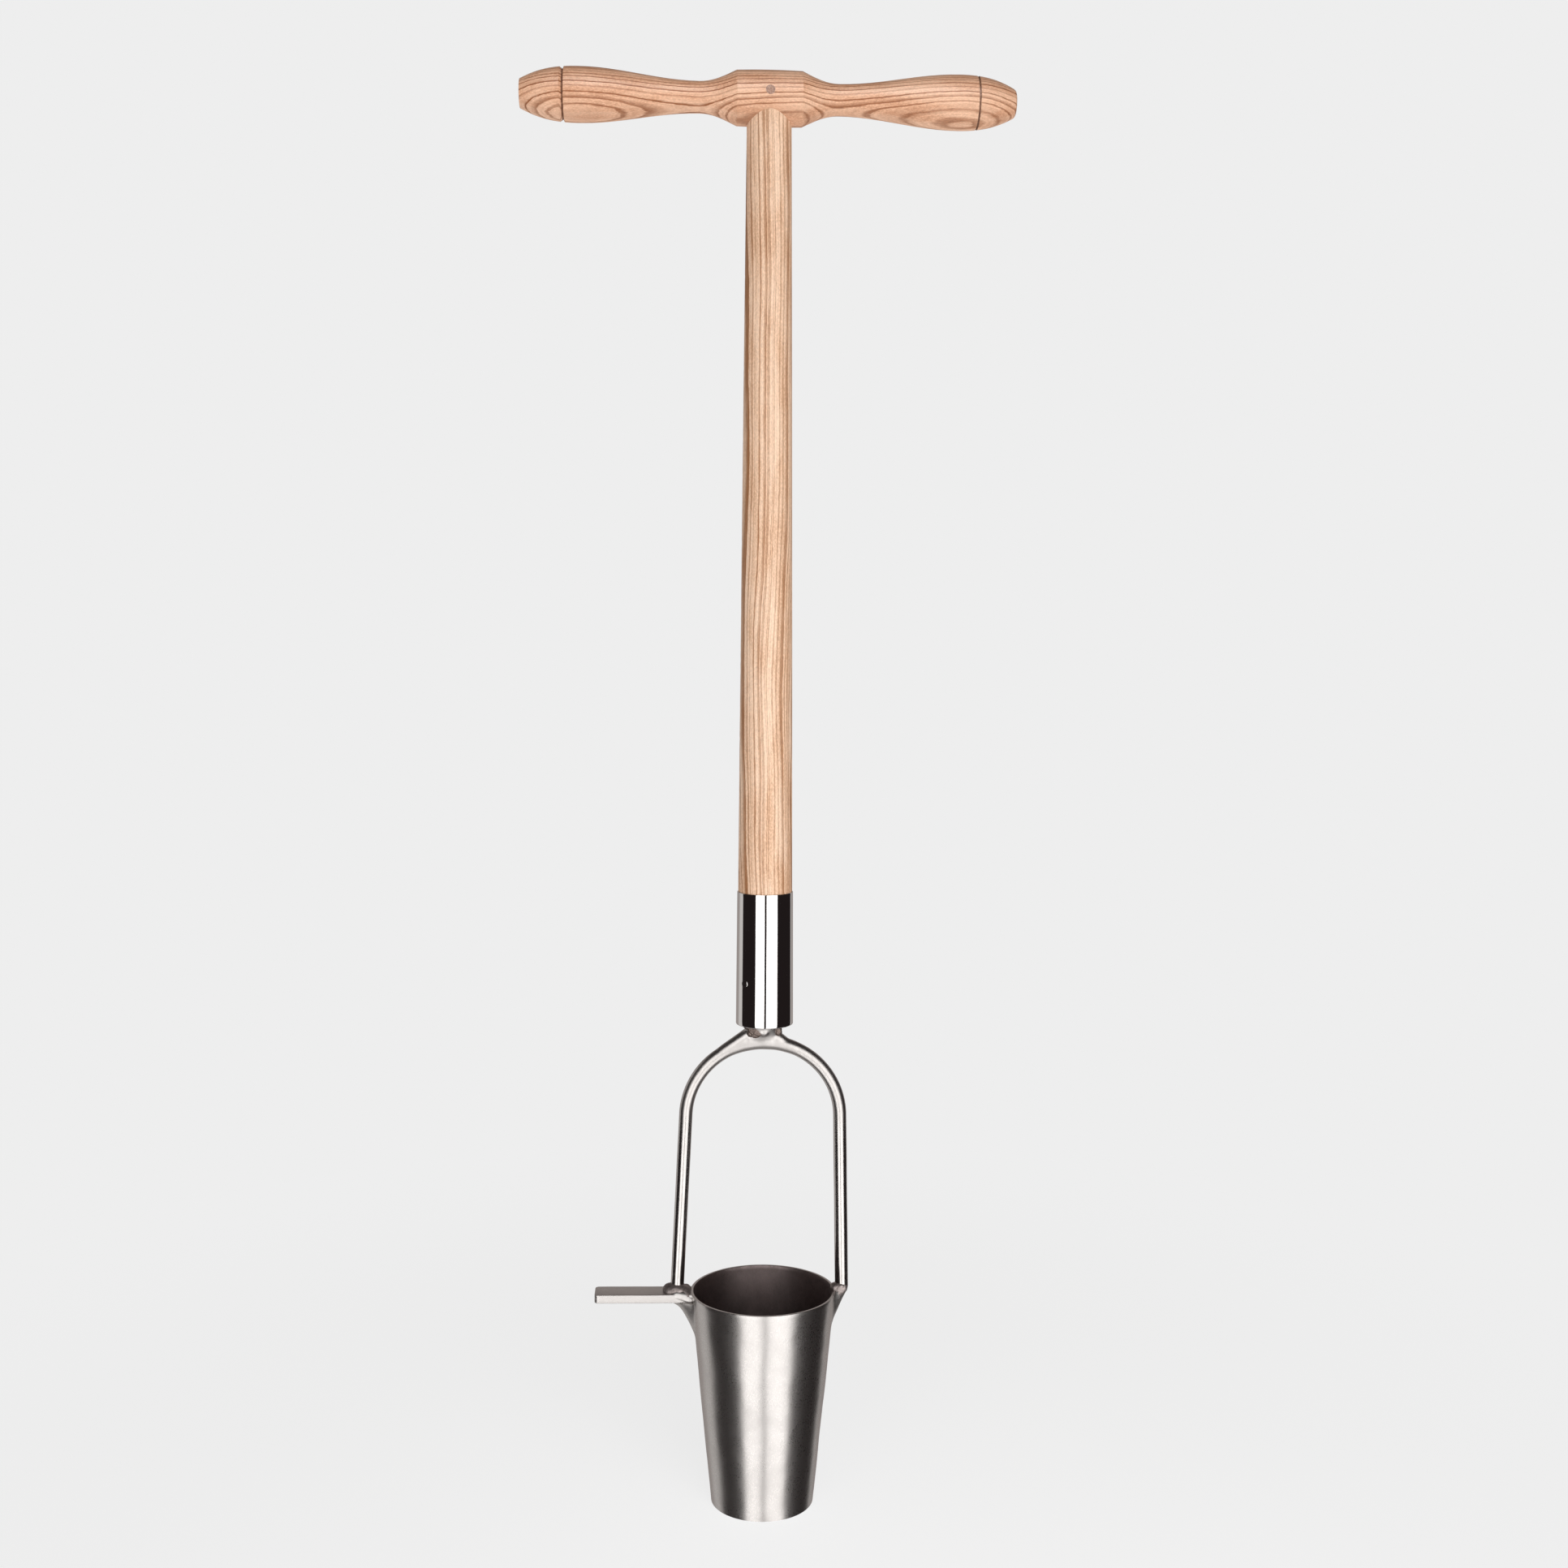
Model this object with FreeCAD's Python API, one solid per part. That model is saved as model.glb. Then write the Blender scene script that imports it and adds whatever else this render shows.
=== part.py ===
import FreeCAD, Part
import math
import os

# Potato planter, in millimetres. Z runs up the shaft, X runs along the crossbar handle, and the foot
# step stands out on -X. The origin is the middle of the cup's lower edge, where the tool stands.

# Cup: a rolled cone, open at both ends, with its lower edge ground thin from the inside
CUP_HEIGHT = 155.4
CUP_RIM_DIAMETER = 104.6
CUP_EDGE_DIAMETER = 74.2
CUP_WALL = 2.0
CUP_RIM_ROUND = 0.4
CUP_BEVEL_HEIGHT = 5.0
CUP_EDGE_LAND = 0.8
CUP_SEAM_WIDTH = 2.6

# Bail: one round rod bent to an arch, which joins the cup to the socket
ROD_DIAMETER = 9.5
BAIL_CLEAR_HEIGHT = 176.4
BAIL_CROWN_FLAT = 2.0
RIGHT_LEG_LEAN = 1.1
RIGHT_LEG_ON_RIM = 0.3
LEFT_LEG_LEAN = 2.7
LEFT_LEG_STANDOFF = 4.8

# Foot step: a flat bar with its top flush with the rim, coped to the cup
STEP_LENGTH = 68.5
STEP_WIDTH = 18.0
STEP_THICKNESS = 6.0
STEP_CORNER_ROUND = 2.6
STEP_EDGE_ROUND = 0.4

# Weld metal at the rim
LUG_HEIGHT = 25.0
LUG_TIP_RADIUS = 3.6
LEFT_LUG_SET_IN = 3.1
FOOT_BEAD_LEG = 3.4
RIM_BEAD_RADIUS = 1.9
SIDE_BEAD_RADIUS = 2.6
CORNER_BEAD_RADIUS = 2.5
CORNER_BEAD_TURN = 52.0
CORNER_BEAD_DROP = 0.9

# Socket: a slightly tapered tube, closed below by a disc that the bail is welded to
SOCKET_LENGTH = 94.8
SOCKET_MOUTH_DIAMETER = 39.4
SOCKET_FOOT_DIAMETER = 40.6
SOCKET_WALL = 1.5
SOCKET_FOOT_ROUND = 0.9
SOCKET_MOUTH_ROUND = 0.3
END_DISC_THICKNESS = 3.0
PIN_DIAMETER = 5.0
PIN_HEIGHT = 31.0
PIN_ANGLE = 47.0
PIN_DOME = 0.35

# Saddle: ground weld metal that flares from the end disc down to the crown of the bail
SADDLE_RISE = 8.85
SADDLE_TOP_LENGTH = 31.0
SADDLE_TOP_WIDTH = 23.0
SADDLE_FOOT_LENGTH = 61.0
SADDLE_FLARE_DROP = 16.0
SADDLE_BEAD_LEG = 1.6
# Down the saddle: shares of the drop, each with the share of the spread along the rod reached there
SADDLE_OUTLINE = ((0, 0), (0.30, 0.02), (0.55, 0.18), (0.80, 0.62), (1, 1))

# Shaft: tapered, with a spigot in the socket and a round tenon in the crossbar
SHAFT_LENGTH = 545.0
SHAFT_MOUTH_DIAMETER = 38.2
SHAFT_MIDDLE_DIAMETER = 34.7
SHAFT_TOP_DIAMETER = 30.4
SPIGOT_END_GAP = 1.0
TENON_DIAMETER = 22.0
TENON_REACH = 12.0
TENON_END_GAP = 0.5
DOWEL_DIAMETER = 6.4
DOWEL_RISE = 1.1

# Crossbar: turned in one piece, with a barrel block in the middle and a swelling grip on each side
CROSSBAR_LENGTH = 338.4
BLOCK_WIDTH = 44.6
BLOCK_DIAMETER = 37.0
BLOCK_EDGE_DIAMETER = 36.2
NECK_FROM_MIDDLE = 47.5
NECK_DIAMETER = 20.8
GRIP_FROM_MIDDLE = 130.0
GRIP_DIAMETER = 36.4
LEFT_END_DIAMETER = 19.0
LEFT_END_ROUND = 0.5
RIGHT_END_DIAMETER = 17.6
RIGHT_END_ROUND = 3.5
V_GROOVE_FROM_MIDDLE = 140.9
V_GROOVE_WIDTH = 4.0
V_GROOVE_DEPTH = 2.1
SAW_GROOVE_FROM_MIDDLE = 142.4
SAW_GROOVE_WIDTH = 1.2
SAW_GROOVE_DEPTH = 1.3
# Shares that shape the outline between its diameters
SHOULDER_BREAK_OUT = 0.32
SHOULDER_BREAK_DOWN = 0.48
SHOULDER_EASE = 0.38
SWELL_EASE = 0.36
NOSE_EASE = 0.42
NOSE_TURN = 0.70

# Sizes and heights that follow from the ones above
RIM_RADIUS = CUP_RIM_DIAMETER / 2
EDGE_RADIUS = CUP_EDGE_DIAMETER / 2
CUP_SLANT = math.atan((RIM_RADIUS - EDGE_RADIUS) / CUP_HEIGHT)
WALL_ACROSS = CUP_WALL / math.cos(CUP_SLANT)
ROD_RADIUS = ROD_DIAMETER / 2
RIGHT_FOOT_X = RIM_RADIUS - RIGHT_LEG_ON_RIM + ROD_RADIUS
LEFT_FOOT_X = -(RIM_RADIUS + LEFT_LEG_STANDOFF + ROD_RADIUS)
CROWN_Z = CUP_HEIGHT + BAIL_CLEAR_HEIGHT + ROD_RADIUS
STEP_UNDERSIDE_Z = CUP_HEIGHT - STEP_THICKNESS
SOCKET_FOOT_Z = CROWN_Z + ROD_RADIUS + SADDLE_RISE
SOCKET_MOUTH_Z = SOCKET_FOOT_Z + SOCKET_LENGTH
CROSSBAR_Z = SOCKET_MOUTH_Z + SHAFT_LENGTH
TENON_TOP_Z = CROSSBAR_Z + TENON_REACH
DOWEL_Z = CROSSBAR_Z + DOWEL_RISE
# Longer than any piece that it clips
AMPLE = SHAFT_LENGTH
# Two sizes this close are the same
NEAR = 0.001

UP = FreeCAD.Vector(0, 0, 1)
ALONG_X = FreeCAD.Vector(1, 0, 0)
ALONG_Y = FreeCAD.Vector(0, 1, 0)


def at(x, y, z):
    return FreeCAD.Vector(x, y, z)


def bodies(shape):
    """Keep the closed bodies of a boolean result, as one solid when there is only one."""
    found = shape.removeSplitter().Solids
    if len(found) == 1:
        return found[0]
    return Part.makeCompound(found)


def line_loop(points):
    """A closed outline of straight edges."""
    return Part.Wire(Part.makePolygon(points + points[:1]).Edges)


def turned(edges, centre, axis):
    """Turn an outline that reaches the axis, or stands clear of it, into a round solid."""
    face = Part.Face(Part.Wire(Part.__sortEdges__(edges)))
    return face.revolve(centre, axis, 360)


def bezier(*poles):
    curve = Part.BezierCurve()
    curve.setPoles(list(poles))
    return curve.toShape()


def box_between(low, high):
    size = high - low
    return Part.makeBox(size.x, size.y, size.z, low)


def below(height):
    """Everything under a level, for clipping."""
    return box_between(at(-AMPLE, -AMPLE, height - AMPLE), at(AMPLE, AMPLE, height))


def round_edges(shape, radius, wanted):
    """Round the edges that the test picks out."""
    return shape.makeFillet(radius, [edge for edge in shape.Edges if wanted(edge)])


def circle_edge_at(radius, height):
    """A test for the full circle of one radius at one height."""
    def wanted(edge):
        box = edge.BoundBox
        level = abs(box.ZMin - height) < NEAR and abs(box.ZMax - height) < NEAR
        return level and abs(box.XMax - radius) < NEAR
    return wanted


# Cup

def cup_filled():
    """The cone that the cup's outside follows, as a full solid that other pieces are coped to."""
    return Part.makeCone(EDGE_RADIUS, RIM_RADIUS, CUP_HEIGHT)


def cup_blank():
    outline = [
        at(EDGE_RADIUS, 0, 0),
        at(RIM_RADIUS, 0, CUP_HEIGHT),
        at(RIM_RADIUS - WALL_ACROSS, 0, CUP_HEIGHT),
        at(EDGE_RADIUS - WALL_ACROSS + CUP_BEVEL_HEIGHT * math.tan(CUP_SLANT), 0, CUP_BEVEL_HEIGHT),
        at(EDGE_RADIUS - CUP_EDGE_LAND, 0, 0),
    ]
    cone = turned(line_loop(outline).Edges, at(0, 0, 0), UP)
    outer_lip = circle_edge_at(RIM_RADIUS, CUP_HEIGHT)
    inner_lip = circle_edge_at(RIM_RADIUS - WALL_ACROSS, CUP_HEIGHT)
    return round_edges(cone, CUP_RIM_ROUND, lambda edge: outer_lip(edge) or inner_lip(edge))


def seam_slot():
    """The gap at the back where the rolled sheet's edges are welded together."""
    half = CUP_SEAM_WIDTH / 2
    return box_between(at(-half, 0, -AMPLE), at(half, AMPLE, AMPLE))


def cup():
    return bodies(cup_blank().cut(seam_slot()))


def cup_seam_weld():
    return bodies(cup_blank().common(seam_slot()))


# Bail

def leg_direction(side):
    """The unit vector down a leg. side is 1 for the right leg and -1 for the left."""
    lean = math.radians(RIGHT_LEG_LEAN if side > 0 else LEFT_LEG_LEAN)
    return at(side * math.sin(lean), 0, -math.cos(lean))


def foot_point(side):
    """Where a leg's centre line meets the level of the rim."""
    return at(RIGHT_FOOT_X if side > 0 else LEFT_FOOT_X, 0, CUP_HEIGHT)


def bend_radius():
    """The centre-line radius that joins both leaning legs to the flat of the crown."""
    rise = CROWN_Z - CUP_HEIGHT
    right = math.radians(RIGHT_LEG_LEAN)
    left = math.radians(LEFT_LEG_LEAN)
    span = RIGHT_FOOT_X - LEFT_FOOT_X - rise * (math.tan(right) + math.tan(left)) - BAIL_CROWN_FLAT
    per_radius = 1 / math.cos(right) - math.tan(right) + 1 / math.cos(left) - math.tan(left)
    return span / per_radius


def bend_centre(side):
    """The centre of the bend between a leg and the crown."""
    radius = bend_radius()
    lean = math.radians(RIGHT_LEG_LEAN if side > 0 else LEFT_LEG_LEAN)
    drop_to_foot = CROWN_Z - radius - CUP_HEIGHT
    leg_x = foot_point(side).x - side * drop_to_foot * math.tan(lean)
    return at(leg_x - side * radius / math.cos(lean), 0, CROWN_Z - radius)


def bail_half(side):
    """The edges of one leg and its bend, from below the rim to the flat of the crown."""
    radius = bend_radius()
    centre = bend_centre(side)
    down = leg_direction(side)
    outward = at(-down.z * side, 0, down.x * side)
    leg_top = centre + outward * radius
    leg_end = foot_point(side) + down * ROD_DIAMETER
    crown_end = centre + UP * radius
    middle = centre + (outward + UP).normalize() * radius
    leg = Part.LineSegment(leg_end, leg_top).toShape()
    bend = Part.Arc(leg_top, middle, crown_end).toShape()
    return leg, bend


def bail_path():
    left_leg, left_bend = bail_half(-1)
    right_leg, right_bend = bail_half(1)
    left_end = bend_centre(-1) + UP * bend_radius()
    right_end = bend_centre(1) + UP * bend_radius()
    crown = Part.LineSegment(left_end, right_end).toShape()
    return Part.Wire([left_leg, left_bend, crown, right_bend, right_leg])


def bail_rod():
    """The bent rod, with both feet cut off level with the rim."""
    start = foot_point(-1) + leg_direction(-1) * ROD_DIAMETER
    section = Part.Wire(Part.makeCircle(ROD_RADIUS, start, leg_direction(-1)))
    rod = bail_path().makePipeShell([section], True, False)
    return bodies(rod.cut(below(CUP_HEIGHT)))


# Foot step and the weld metal at the rim

def foot_step():
    """The flat bar, with its outer corners rounded in plan and its inner end coped to the cup."""
    outer_x = -(RIM_RADIUS + STEP_LENGTH)
    half = STEP_WIDTH / 2
    bar = box_between(at(outer_x, -half, STEP_UNDERSIDE_Z), at(0, half, CUP_HEIGHT))

    def outer_corner(edge):
        box = edge.BoundBox
        return box.ZLength > STEP_THICKNESS / 2 and abs(box.XMax - outer_x) < NEAR

    def long_edge(edge):
        return edge.BoundBox.XLength > STEP_LENGTH / 2

    bar = round_edges(bar, STEP_CORNER_ROUND, outer_corner)
    bar = round_edges(bar, STEP_EDGE_ROUND, long_edge)
    return bodies(bar.cut(cup_filled()))


def lug_blank(side, top_x, top_z):
    """A slanting cone from the leaning rod's cut face down to a tip that fades out at the cup's wall."""
    tip_z = top_z - LUG_HEIGHT
    wall_at_tip = EDGE_RADIUS + tip_z * math.tan(CUP_SLANT)
    top = Part.Ellipse(at(top_x, 0, top_z), ROD_RADIUS / -leg_direction(side).z, ROD_RADIUS).toShape()
    tip = Part.makeCircle(LUG_TIP_RADIUS, at(side * (wall_at_tip - LUG_TIP_RADIUS), 0, tip_z), UP)
    return Part.makeLoft([Part.Wire(top), Part.Wire(tip)], True, True)


def right_lug_blank():
    return lug_blank(1, RIGHT_FOOT_X, CUP_HEIGHT)


def left_lug_blank():
    return lug_blank(-1, LEFT_FOOT_X + LEFT_LUG_SET_IN, STEP_UNDERSIDE_Z)


def right_leg_lug():
    return bodies(right_lug_blank().cut(cup_filled()))


def left_leg_lug():
    return bodies(left_lug_blank().cut(cup_filled()))


def over_the_cup():
    """The cup's outline carried up past the rim, so that no weld reaches in over the mouth."""
    return cup_filled().fuse(Part.makeCylinder(RIM_RADIUS, CUP_HEIGHT, at(0, 0, CUP_HEIGHT)))


def left_leg_bead():
    """The fillet all round the left foot, where it stands on the step."""
    down = leg_direction(-1)
    depth = FOOT_BEAD_LEG + ROD_DIAMETER
    top = foot_point(-1) - down * FOOT_BEAD_LEG
    cone = Part.makeCone(ROD_RADIUS, ROD_RADIUS + depth, depth, top, down)
    return bodies(cone.cut(bail_rod()).cut(below(CUP_HEIGHT)).cut(over_the_cup()))


def right_leg_beads():
    """The two lumps of weld, front and back, in the corners between the right foot and the rim."""
    turn = math.radians(CORNER_BEAD_TURN)
    lumps = []
    for side in (-1, 1):
        to_corner = at(-math.cos(turn), side * math.sin(turn), -CORNER_BEAD_DROP / ROD_RADIUS)
        lump = Part.makeSphere(CORNER_BEAD_RADIUS, foot_point(1) + to_corner * ROD_RADIUS)
        lumps += lump.cut(over_the_cup()).cut(bail_rod()).cut(right_lug_blank()).Solids
    return Part.makeCompound(lumps)


def step_top_weld():
    """The bead along the rim on top of the step, between the left foot and the cup's mouth."""
    major = RIM_RADIUS + RIM_BEAD_RADIUS
    reach = math.degrees(math.asin((STEP_WIDTH / 2 - RIM_BEAD_RADIUS) / major))
    ring = Part.makeTorus(major, RIM_BEAD_RADIUS, at(0, 0, CUP_HEIGHT), UP, 0, 360, 2 * reach)
    ring.rotate(at(0, 0, 0), UP, 180 - reach)
    bead = ring.cut(below(CUP_HEIGHT)).cut(over_the_cup())
    return bodies(bead.cut(bail_rod()).cut(left_leg_bead()))


def step_side_welds():
    """The upright beads in the two corners between the step's sides and the cup."""
    wall_at_step = EDGE_RADIUS + STEP_UNDERSIDE_Z * math.tan(CUP_SLANT)
    half = STEP_WIDTH / 2
    corner_x = -math.sqrt(wall_at_step ** 2 - half ** 2)
    beads = []
    for y in (-half, half):
        bead = Part.makeCylinder(SIDE_BEAD_RADIUS, STEP_THICKNESS, at(corner_x, y, STEP_UNDERSIDE_Z))
        beads += bead.cut(foot_step()).cut(cup_filled()).cut(left_lug_blank()).Solids
    return Part.makeCompound(beads)


# Socket and saddle

def socket_radius(height):
    """The socket's outer radius at a height. The line runs on above and below the tube."""
    share = (height - SOCKET_FOOT_Z) / SOCKET_LENGTH
    return (SOCKET_FOOT_DIAMETER + share * (SOCKET_MOUTH_DIAMETER - SOCKET_FOOT_DIAMETER)) / 2


def bore_plug(bottom, top):
    """A solid that fills the socket's tapered bore between two heights."""
    low_radius = socket_radius(bottom) - SOCKET_WALL
    high_radius = socket_radius(top) - SOCKET_WALL
    return Part.makeCone(low_radius, high_radius, top - bottom, at(0, 0, bottom))


def pin_blank(radius):
    """A cylinder through the socket along the pin's direction."""
    angle = math.radians(PIN_ANGLE)
    along = at(-math.sin(angle), -math.cos(angle), 0)
    centre = at(0, 0, SOCKET_FOOT_Z + PIN_HEIGHT)
    return Part.makeCylinder(radius, 2 * SOCKET_FOOT_DIAMETER, centre - along * SOCKET_FOOT_DIAMETER, along)


def socket_tube():
    low = SOCKET_FOOT_DIAMETER / 2
    high = SOCKET_MOUTH_DIAMETER / 2
    outside = Part.makeCone(low, high, SOCKET_LENGTH, at(0, 0, SOCKET_FOOT_Z))
    outside = round_edges(outside, SOCKET_FOOT_ROUND, circle_edge_at(low, SOCKET_FOOT_Z))
    outside = round_edges(outside, SOCKET_MOUTH_ROUND, circle_edge_at(high, SOCKET_MOUTH_Z))
    tube = outside.cut(bore_plug(SOCKET_FOOT_Z, SOCKET_MOUTH_Z))
    return bodies(tube.cut(pin_blank(PIN_DIAMETER / 2)))


def socket_end_disc():
    return bore_plug(SOCKET_FOOT_Z, SOCKET_FOOT_Z + END_DISC_THICKNESS)


def socket_pin():
    """The pin through socket and spigot, with its ends barely proud of the polished tube."""
    low = SOCKET_FOOT_DIAMETER / 2 + PIN_DOME
    high = SOCKET_MOUTH_DIAMETER / 2 + PIN_DOME
    skin = Part.makeCone(low, high, SOCKET_LENGTH, at(0, 0, SOCKET_FOOT_Z))
    return bodies(pin_blank(PIN_DIAMETER / 2).common(skin))


def ellipse_wire(length, width, height):
    """A level ellipse, longer along X, centred over the cup."""
    ellipse = Part.Ellipse(at(0, 0, height), length / 2, width / 2)
    return Part.Wire(ellipse.toShape())


def under_the_crown():
    """The space below the bail's centre line, which the saddle doesn't reach into."""
    bend = Part.makeCylinder(bend_radius(), 2 * AMPLE, bend_centre(1) - at(0, AMPLE, 0), ALONG_Y)
    other_bend = Part.makeCylinder(bend_radius(), 2 * AMPLE, bend_centre(-1) - at(0, AMPLE, 0), ALONG_Y)
    flat = box_between(bend_centre(-1) - at(0, AMPLE, 0), at(bend_centre(1).x, AMPLE, CROWN_Z))
    return bend.fuse(other_bend).fuse(flat)


def bail_saddle():
    """Flares from an ellipse under the end disc to a ridge along the rod's crown."""
    foot_width = ROD_DIAMETER
    sections = []
    for drop, flare in SADDLE_OUTLINE:
        length = SADDLE_TOP_LENGTH + flare * (SADDLE_FOOT_LENGTH - SADDLE_TOP_LENGTH)
        width = SADDLE_TOP_WIDTH + math.sin(drop * math.pi / 2) * (foot_width - SADDLE_TOP_WIDTH)
        sections.append(ellipse_wire(length, width, SOCKET_FOOT_Z - drop * SADDLE_FLARE_DROP))
    flare = Part.makeLoft(sections, True, False)
    return bodies(flare.cut(under_the_crown()).cut(bail_rod()))


def saddle_bead():
    """The fillet round the top of the saddle, under the end disc."""
    low_z = SOCKET_FOOT_Z - SADDLE_BEAD_LEG
    top = ellipse_wire(
        SADDLE_TOP_LENGTH + 2 * SADDLE_BEAD_LEG, SADDLE_TOP_WIDTH + 2 * SADDLE_BEAD_LEG, SOCKET_FOOT_Z
    )
    foot = ellipse_wire(SADDLE_TOP_LENGTH, SADDLE_TOP_WIDTH, low_z)
    return bodies(Part.makeLoft([top, foot], True, True).cut(bail_saddle()))


# Handle

def crossbar_arm(side, end_diameter):
    """The outline of one arm, from the edge of the block to the rim of the end face."""
    def point(from_middle, diameter):
        return at(side * from_middle, 0, CROSSBAR_Z + diameter / 2)

    block_edge = BLOCK_WIDTH / 2
    shoulder = NECK_FROM_MIDDLE - block_edge
    swell = GRIP_FROM_MIDDLE - NECK_FROM_MIDDLE
    nose = CROSSBAR_LENGTH / 2 - GRIP_FROM_MIDDLE
    step_down = BLOCK_EDGE_DIAMETER - NECK_DIAMETER
    return [
        bezier(
            point(block_edge, BLOCK_EDGE_DIAMETER),
            point(
                block_edge + SHOULDER_BREAK_OUT * shoulder,
                BLOCK_EDGE_DIAMETER - SHOULDER_BREAK_DOWN * step_down,
            ),
            point(NECK_FROM_MIDDLE - SHOULDER_EASE * shoulder, NECK_DIAMETER),
            point(NECK_FROM_MIDDLE, NECK_DIAMETER),
        ),
        bezier(
            point(NECK_FROM_MIDDLE, NECK_DIAMETER),
            point(NECK_FROM_MIDDLE + SWELL_EASE * swell, NECK_DIAMETER),
            point(GRIP_FROM_MIDDLE - SWELL_EASE * swell, GRIP_DIAMETER),
            point(GRIP_FROM_MIDDLE, GRIP_DIAMETER),
        ),
        bezier(
            point(GRIP_FROM_MIDDLE, GRIP_DIAMETER),
            point(GRIP_FROM_MIDDLE + NOSE_EASE * nose, GRIP_DIAMETER),
            point(
                GRIP_FROM_MIDDLE + NOSE_TURN * nose,
                end_diameter + NOSE_TURN * (GRIP_DIAMETER - end_diameter),
            ),
            point(CROSSBAR_LENGTH / 2, end_diameter),
        ),
    ]


def end_rim(side, diameter):
    """A test for the rim of one end face."""
    def wanted(edge):
        box = edge.BoundBox
        end_x = side * CROSSBAR_LENGTH / 2
        upright = abs(box.XMin - end_x) < NEAR and abs(box.XMax - end_x) < NEAR
        return upright and abs(box.ZLength - diameter) < NEAR
    return wanted


def crossbar_blank():
    """The turned shape before its grooves and holes."""
    half_length = CROSSBAR_LENGTH / 2
    half_block = BLOCK_WIDTH / 2
    block = Part.Arc(
        at(-half_block, 0, CROSSBAR_Z + BLOCK_EDGE_DIAMETER / 2),
        at(0, 0, CROSSBAR_Z + BLOCK_DIAMETER / 2),
        at(half_block, 0, CROSSBAR_Z + BLOCK_EDGE_DIAMETER / 2),
    ).toShape()
    axis_points = [
        at(-half_length, 0, CROSSBAR_Z + LEFT_END_DIAMETER / 2),
        at(-half_length, 0, CROSSBAR_Z),
        at(half_length, 0, CROSSBAR_Z),
        at(half_length, 0, CROSSBAR_Z + RIGHT_END_DIAMETER / 2),
    ]
    edges = crossbar_arm(-1, LEFT_END_DIAMETER) + [block] + crossbar_arm(1, RIGHT_END_DIAMETER)
    edges += Part.makePolygon(axis_points).Edges
    bar = turned(edges, at(0, 0, CROSSBAR_Z), ALONG_X)
    bar = round_edges(bar, LEFT_END_ROUND, end_rim(-1, LEFT_END_DIAMETER))
    return round_edges(bar, RIGHT_END_ROUND, end_rim(1, RIGHT_END_DIAMETER))


def ring_cut(points):
    """Turn a groove's outline, given as distance along the bar and depth below the grip, round the bar."""
    outline = [at(x, 0, CROSSBAR_Z + GRIP_DIAMETER / 2 - depth) for x, depth in points]
    return turned(line_loop(outline).Edges, at(0, 0, CROSSBAR_Z), ALONG_X)


def v_groove():
    """A V whose steep flank faces the grip's end and whose gentle one faces the middle."""
    middle = -V_GROOVE_FROM_MIDDLE
    half = V_GROOVE_WIDTH / 2
    return ring_cut([
        (middle - half, 0),
        (middle - half, -V_GROOVE_DEPTH),
        (middle + half, -V_GROOVE_DEPTH),
        (middle + half, 0),
        (middle + half / 2, V_GROOVE_DEPTH),
    ])


def saw_groove():
    half = SAW_GROOVE_WIDTH / 2
    inner = SAW_GROOVE_FROM_MIDDLE - half
    outer = SAW_GROOVE_FROM_MIDDLE + half
    floor = SAW_GROOVE_DEPTH + GRIP_DIAMETER / 2 - grip_radius(SAW_GROOVE_FROM_MIDDLE)
    return ring_cut([
        (inner, -SAW_GROOVE_DEPTH),
        (outer, -SAW_GROOVE_DEPTH),
        (outer, floor),
        (inner, floor),
    ])


def grip_radius(from_middle):
    """The right grip's radius at a distance from the middle, read off its outline."""
    upright = Part.LineSegment(at(from_middle, 0, CROSSBAR_Z), at(from_middle, 0, CROSSBAR_Z + BLOCK_DIAMETER))
    outline = Part.Wire(crossbar_arm(1, RIGHT_END_DIAMETER))
    touching = outline.distToShape(upright.toShape())[1][0][0]
    return touching.z - CROSSBAR_Z


def dowel_blank(radius):
    """A cylinder from front to back through the block."""
    return Part.makeCylinder(radius, 2 * BLOCK_DIAMETER, at(0, -BLOCK_DIAMETER, DOWEL_Z), ALONG_Y)


def handle_dowel():
    return bodies(dowel_blank(DOWEL_DIAMETER / 2).common(crossbar_blank()))


def crossbar_handle():
    bore_top = TENON_TOP_Z + TENON_END_GAP
    bore = Part.makeCylinder(TENON_DIAMETER / 2, BLOCK_DIAMETER, at(0, 0, bore_top - BLOCK_DIAMETER))
    bar = crossbar_blank().cut(v_groove()).cut(saw_groove())
    return bodies(bar.cut(bore).cut(dowel_blank(DOWEL_DIAMETER / 2)))


def shaft():
    """Spigot, slightly bellied taper and round tenon, with the shoulder coped to the block."""
    mouth = SHAFT_MOUTH_DIAMETER / 2
    middle = SHAFT_MIDDLE_DIAMETER / 2
    top = SHAFT_TOP_DIAMETER / 2
    middle_z = (SOCKET_MOUTH_Z + CROSSBAR_Z) / 2
    side = Part.Arc(at(mouth, 0, SOCKET_MOUTH_Z), at(middle, 0, middle_z), at(top, 0, CROSSBAR_Z)).toShape()
    rest = Part.makePolygon([
        at(top, 0, CROSSBAR_Z),
        at(0, 0, CROSSBAR_Z),
        at(0, 0, SOCKET_MOUTH_Z),
        at(mouth, 0, SOCKET_MOUTH_Z),
    ]).Edges
    taper = turned([side] + rest, at(0, 0, 0), UP)
    shoulder = taper.cut(crossbar_blank())
    spigot_bottom = SOCKET_FOOT_Z + END_DISC_THICKNESS + SPIGOT_END_GAP
    spigot = bore_plug(spigot_bottom, SOCKET_MOUTH_Z)
    tenon_bottom = CROSSBAR_Z - BLOCK_DIAMETER
    tenon = Part.makeCylinder(TENON_DIAMETER / 2, TENON_TOP_Z - tenon_bottom, at(0, 0, tenon_bottom))
    whole = bodies(shoulder.fuse(spigot).fuse(tenon))
    return bodies(whole.cut(pin_blank(PIN_DIAMETER / 2)).cut(dowel_blank(DOWEL_DIAMETER / 2)))


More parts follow.
